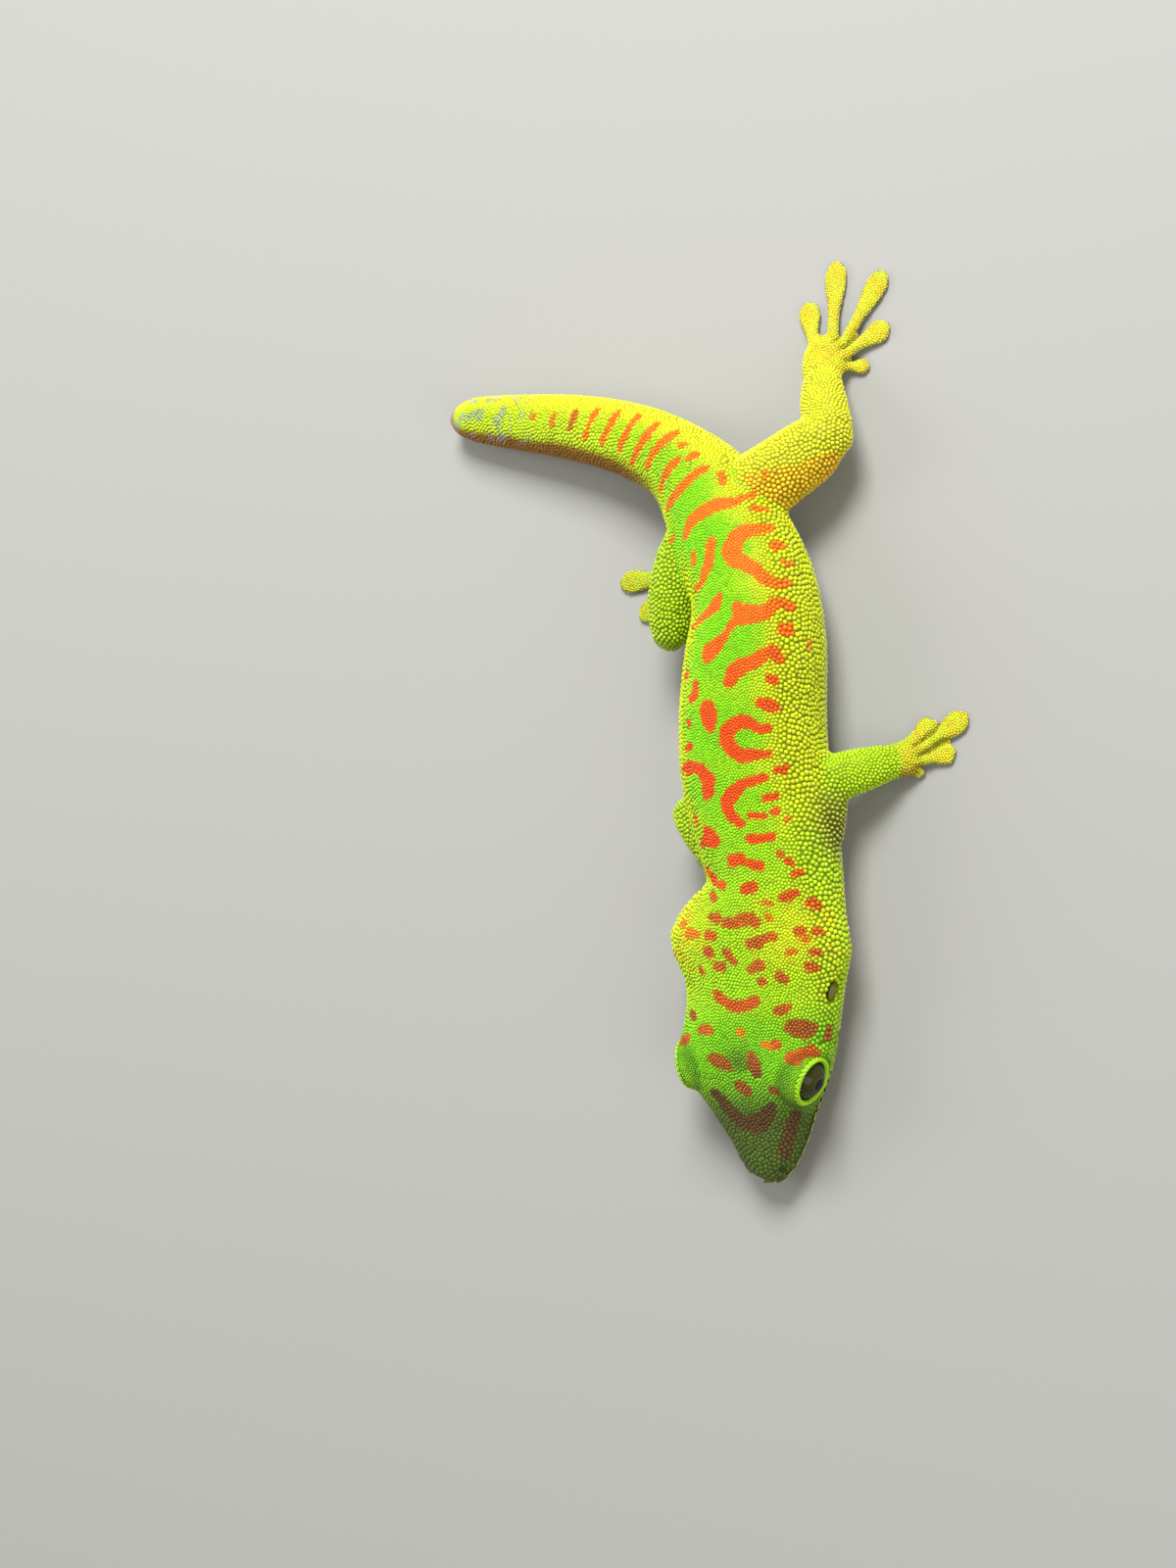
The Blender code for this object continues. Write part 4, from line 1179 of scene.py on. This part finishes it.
def make_stage():
    """A plain pale floor, soft lights with the main one at the tail's end, and the camera."""
    bpy.ops.object.select_all(action="DESELECT")
    bpy.ops.mesh.primitive_plane_add(size=3.0, location=(0, 0, 0))
    floor = bpy.context.object
    floor.name = "stage_floor"
    floor.data.materials.append(bpy.data.materials["pale_floor"])
    floor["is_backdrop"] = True
    for name, place, target, size, power in (
        ("key_light", (0.10, 0.55, 0.60), (0, 0, 0.01), 0.35, 9.0),
        ("fill_light", (0.65, -0.35, 0.45), (0, -0.02, 0.01), 0.5, 2.0),
        ("rim_light", (-0.6, 0.1, 0.4), (0, 0, 0.01), 0.4, 1.8),
    ):
        lamp = bpy.data.lights.new(name, "AREA")
        lamp.energy = power
        lamp.size = size
        obj = add_object(name, lamp)
        obj.location = place
        obj.rotation_euler = (Vector(target) - Vector(place)).to_track_quat("-Z", "Y").to_euler()
        obj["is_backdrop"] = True
    world = bpy.data.worlds.new("pale_room")
    world.use_nodes = True
    sky = world.node_tree.nodes["Background"]
    sky.inputs["Color"].default_value = (1.0, 0.98, 0.94, 1)
    sky.inputs["Strength"].default_value = 0.36
    bpy.context.scene.world = world
    camera = bpy.data.cameras.new("camera")
    camera.sensor_width = 36
    camera.lens = 60.66
    camera.clip_start = 0.01
    obj = add_object("camera", camera)
    turn = Matrix(((0.8556, 0.0471, 0.5155), (0.0, 0.9958, -0.0914), (-0.5176, 0.0782, 0.8520)))
    obj.matrix_world = turn.normalized().to_4x4()
    obj.location = (0.1957, -0.0502, 0.3837)
    obj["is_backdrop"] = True
    bpy.context.scene.camera = obj
    bpy.context.scene.view_settings.view_transform = "Standard"


def colour_property(name, hex_colour, description):
    """A colour that a user may change."""
    return bpy.props.FloatVectorProperty(
        name=name, description=description, subtype="COLOR", size=3, min=0, max=1, default=linear(hex_colour)
    )


class GeckoColours(bpy.types.PropertyGroup):
    """Colours of the gecko and of the floor, as linear values."""

    flank: colour_property("Flank", "#d0de12", "Yellow-green scales on the flanks")
    back: colour_property("Back", "#86d800", "Bright green scales along the back")
    neck: colour_property("Neck", "#a6e010", "Yellow-green of the neck and the nape")
    # Sunny: the own yellow of the throat pouches and hips; on the tail's side facing the main light it is
    # also painted light.
    yellow_and_lit: colour_property("Sunny", "#eeea1e", "Yellow of the throat pouches, hips and tail edge")
    tail: colour_property("Tail", "#c6e414", "Lime green of the tail")
    head: colour_property("Head", "#78c40c", "Green of the crown and the right limbs")
    # Snout: partly the snout's own dull green and partly painted shade.
    snout: colour_property("Snout", "#4c5a1c", "Dull dark green of the snout")
    # Olive: the upper arm's dark skin, partly its own colour and partly painted shade.
    olive: colour_property("Olive", "#4c4a08", "Dark olive skin of the upper arm")
    bead: colour_property("Bead", "#b8be42", "Pale scales that lie apart on the upper arm")
    yellow: colour_property("Yellow", "#e6e62a", "Yellow of the hind leg and the feet")
    toe: colour_property("Toe", "#efc420", "Orange-yellow of the toes")
    belly: colour_property("Belly", "#e4e0a0", "Pale belly")
    # Ochre: the tail's orange-brown underside, partly its own colour and partly painted shade.
    ochre: colour_property("Ochre", "#96500e", "Orange-brown of the tail's underside")
    # Honey: partly the thigh's own colour and partly painted shade.
    honey: colour_property("Honey", "#f4c41c", "Ochre inner face of the left thigh")
    slate: colour_property("Slate", "#8f9c98", "Blue-grey specks near the tail's end")
    bud: colour_property("Bud", "#b38a7c", "Pink regrown tail tip")
    flame: colour_property("Flame", "#f2560a", "Orange-red marks on the shoulders and back")
    ember: colour_property("Ember", "#f67e08", "Orange marks towards the tail")
    rust: colour_property("Rust", "#c86a18", "Orange-brown marks on the neck and head")
    amber: colour_property("Amber", "#e8860e", "Orange marks on the neck and legs")
    dark: colour_property("Dark", "#5f4318", "Dark brown marks on the snout")
    lip: colour_property("Lip", "#7c8a30", "Plates along the mouth")
    lid: colour_property("Lid", "#b8fa1a", "Bright ring of the eyelids")
    lid_rim: colour_property("Lid rim", "#262a10", "Dark edge of the lids")
    iris: colour_property("Iris", "#33370f", "Dark olive iris")
    iris_ring: colour_property("Iris ring", "#4c4c1e", "Pale ring round the pupil")
    pupil: colour_property("Pupil", "#0a0b05", "Round pupil")
    ear: colour_property("Ear drum", "#776f22", "Brown ear drum")
    pad: colour_property("Toe pad", "#d8cfa8", "Pale ridges under the toes")
    floor: colour_property("Floor", "#a6a6a2", "Plain pale floor")


class GeckoSizes(bpy.types.PropertyGroup):
    """Sizes that the scales are made to, in mm or as a share."""

    height: bpy.props.FloatProperty(
        name="Scale height", description="Height of a scale as a share of its width",
        default=0.42, min=0.05, max=0.6,
    )
    # The gap shade is partly the skin's own darker colour and partly painted shade between the scales.
    gap_shade: bpy.props.FloatProperty(
        name="Gap shade", description="How bright the skin between the scales is beside them",
        default=0.34, min=0, max=1,
    )
    spread: bpy.props.FloatProperty(
        name="Scale spacing", description="Distance between scales, as a share of what was measured",
        default=1.0, min=0.8, max=2.0,
    )
    lip: bpy.props.FloatProperty(
        name="Lip plate height", description="Height of the plates along the mouth, in mm",
        default=1.15, min=0.5, max=2.0,
    )
    rounds: bpy.props.IntProperty(
        name="Rounds", description="How many times the scales push each other apart",
        default=18, min=4, max=60,
    )


class GECKO_OT_materials(bpy.types.Operator):
    """Make the materials of the scales, the skin, the eyes and the floor"""

    bl_idname = "gecko.materials"
    bl_label = "Materials"

    def execute(self, context):
        make_materials()
        return {"FINISHED"}


class GECKO_OT_skin(bpy.types.Operator):
    """Lay one closed skin over the frame's flesh"""

    bl_idname = "gecko.skin"
    bl_label = "Skin"

    def execute(self, context):
        make_skin(context.scene.gecko_sizes)
        return {"FINISHED"}


class GECKO_OT_scales(bpy.types.Operator):
    """Cover the skin with granular scales"""

    bl_idname = "gecko.scales"
    bl_label = "Scales"

    def execute(self, context):
        make_scales(context.scene.gecko_sizes)
        return {"FINISHED"}


class GECKO_OT_lips(bpy.types.Operator):
    """Line the mouth with long plates"""

    bl_idname = "gecko.lips"
    bl_label = "Lip plates"

    def execute(self, context):
        make_lips(context.scene.gecko_sizes)
        return {"FINISHED"}


class GECKO_OT_lids(bpy.types.Operator):
    """Ring each eye with a fold of fine skin"""

    bl_idname = "gecko.lids"
    bl_label = "Eyelids"

    def execute(self, context):
        make_lids(context.scene.gecko_sizes)
        return {"FINISHED"}


class GECKO_OT_eyes(bpy.types.Operator):
    """Put a wet eyeball in each eye socket"""

    bl_idname = "gecko.eyes"
    bl_label = "Eyes"

    def execute(self, context):
        make_eyes()
        return {"FINISHED"}


class GECKO_OT_ears(bpy.types.Operator):
    """Give the ear drums their skin"""

    bl_idname = "gecko.ears"
    bl_label = "Ear drums"

    def execute(self, context):
        make_ears()
        return {"FINISHED"}


class GECKO_OT_toe_pads(bpy.types.Operator):
    """Lay cross ridges under the toes"""

    bl_idname = "gecko.toe_pads"
    bl_label = "Toe pads"

    def execute(self, context):
        make_toe_pads()
        return {"FINISHED"}


class GECKO_OT_stage(bpy.types.Operator):
    """Set the floor, the lights and the camera"""

    bl_idname = "gecko.stage"
    bl_label = "Stage"

    def execute(self, context):
        make_stage()
        return {"FINISHED"}


OPERATORS = (
    GECKO_OT_materials, GECKO_OT_skin, GECKO_OT_scales, GECKO_OT_lips, GECKO_OT_lids,
    GECKO_OT_eyes, GECKO_OT_ears, GECKO_OT_toe_pads, GECKO_OT_stage,
)


class GECKO_PT_panel(bpy.types.Panel):
    """Lists the gecko's operators, sizes and colours"""

    bl_label = "Giant Day Gecko"
    bl_idname = "GECKO_PT_panel"
    bl_space_type = "VIEW_3D"
    bl_region_type = "UI"
    bl_category = "Gecko"

    def draw(self, context):
        for operator in OPERATORS:
            self.layout.operator(operator.bl_idname)
        for group in (context.scene.gecko_sizes, context.scene.gecko_colours):
            for key in group.__annotations__:
                self.layout.prop(group, key)


CLASSES = (GeckoColours, GeckoSizes, *OPERATORS, GECKO_PT_panel)


def register():
    for cls in CLASSES:
        bpy.utils.register_class(cls)
    bpy.types.Scene.gecko_colours = bpy.props.PointerProperty(type=GeckoColours)
    bpy.types.Scene.gecko_sizes = bpy.props.PointerProperty(type=GeckoSizes)


def unregister():
    del bpy.types.Scene.gecko_sizes
    del bpy.types.Scene.gecko_colours
    for cls in reversed(CLASSES):
        bpy.utils.unregister_class(cls)


def main():
    """Build the gecko piece by piece, and list the corners of the frame's box and the model's."""
    register()
    bpy.ops.gecko.materials()
    bpy.ops.gecko.skin()
    bpy.ops.gecko.scales()
    bpy.ops.gecko.lips()
    bpy.ops.gecko.lids()
    bpy.ops.gecko.eyes()
    bpy.ops.gecko.ears()
    bpy.ops.gecko.toe_pads()
    bpy.ops.gecko.stage()
    [[list(corner) for corner in box] for box in (CAD_BOX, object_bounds())]


if __name__ == "__main__":
    main()
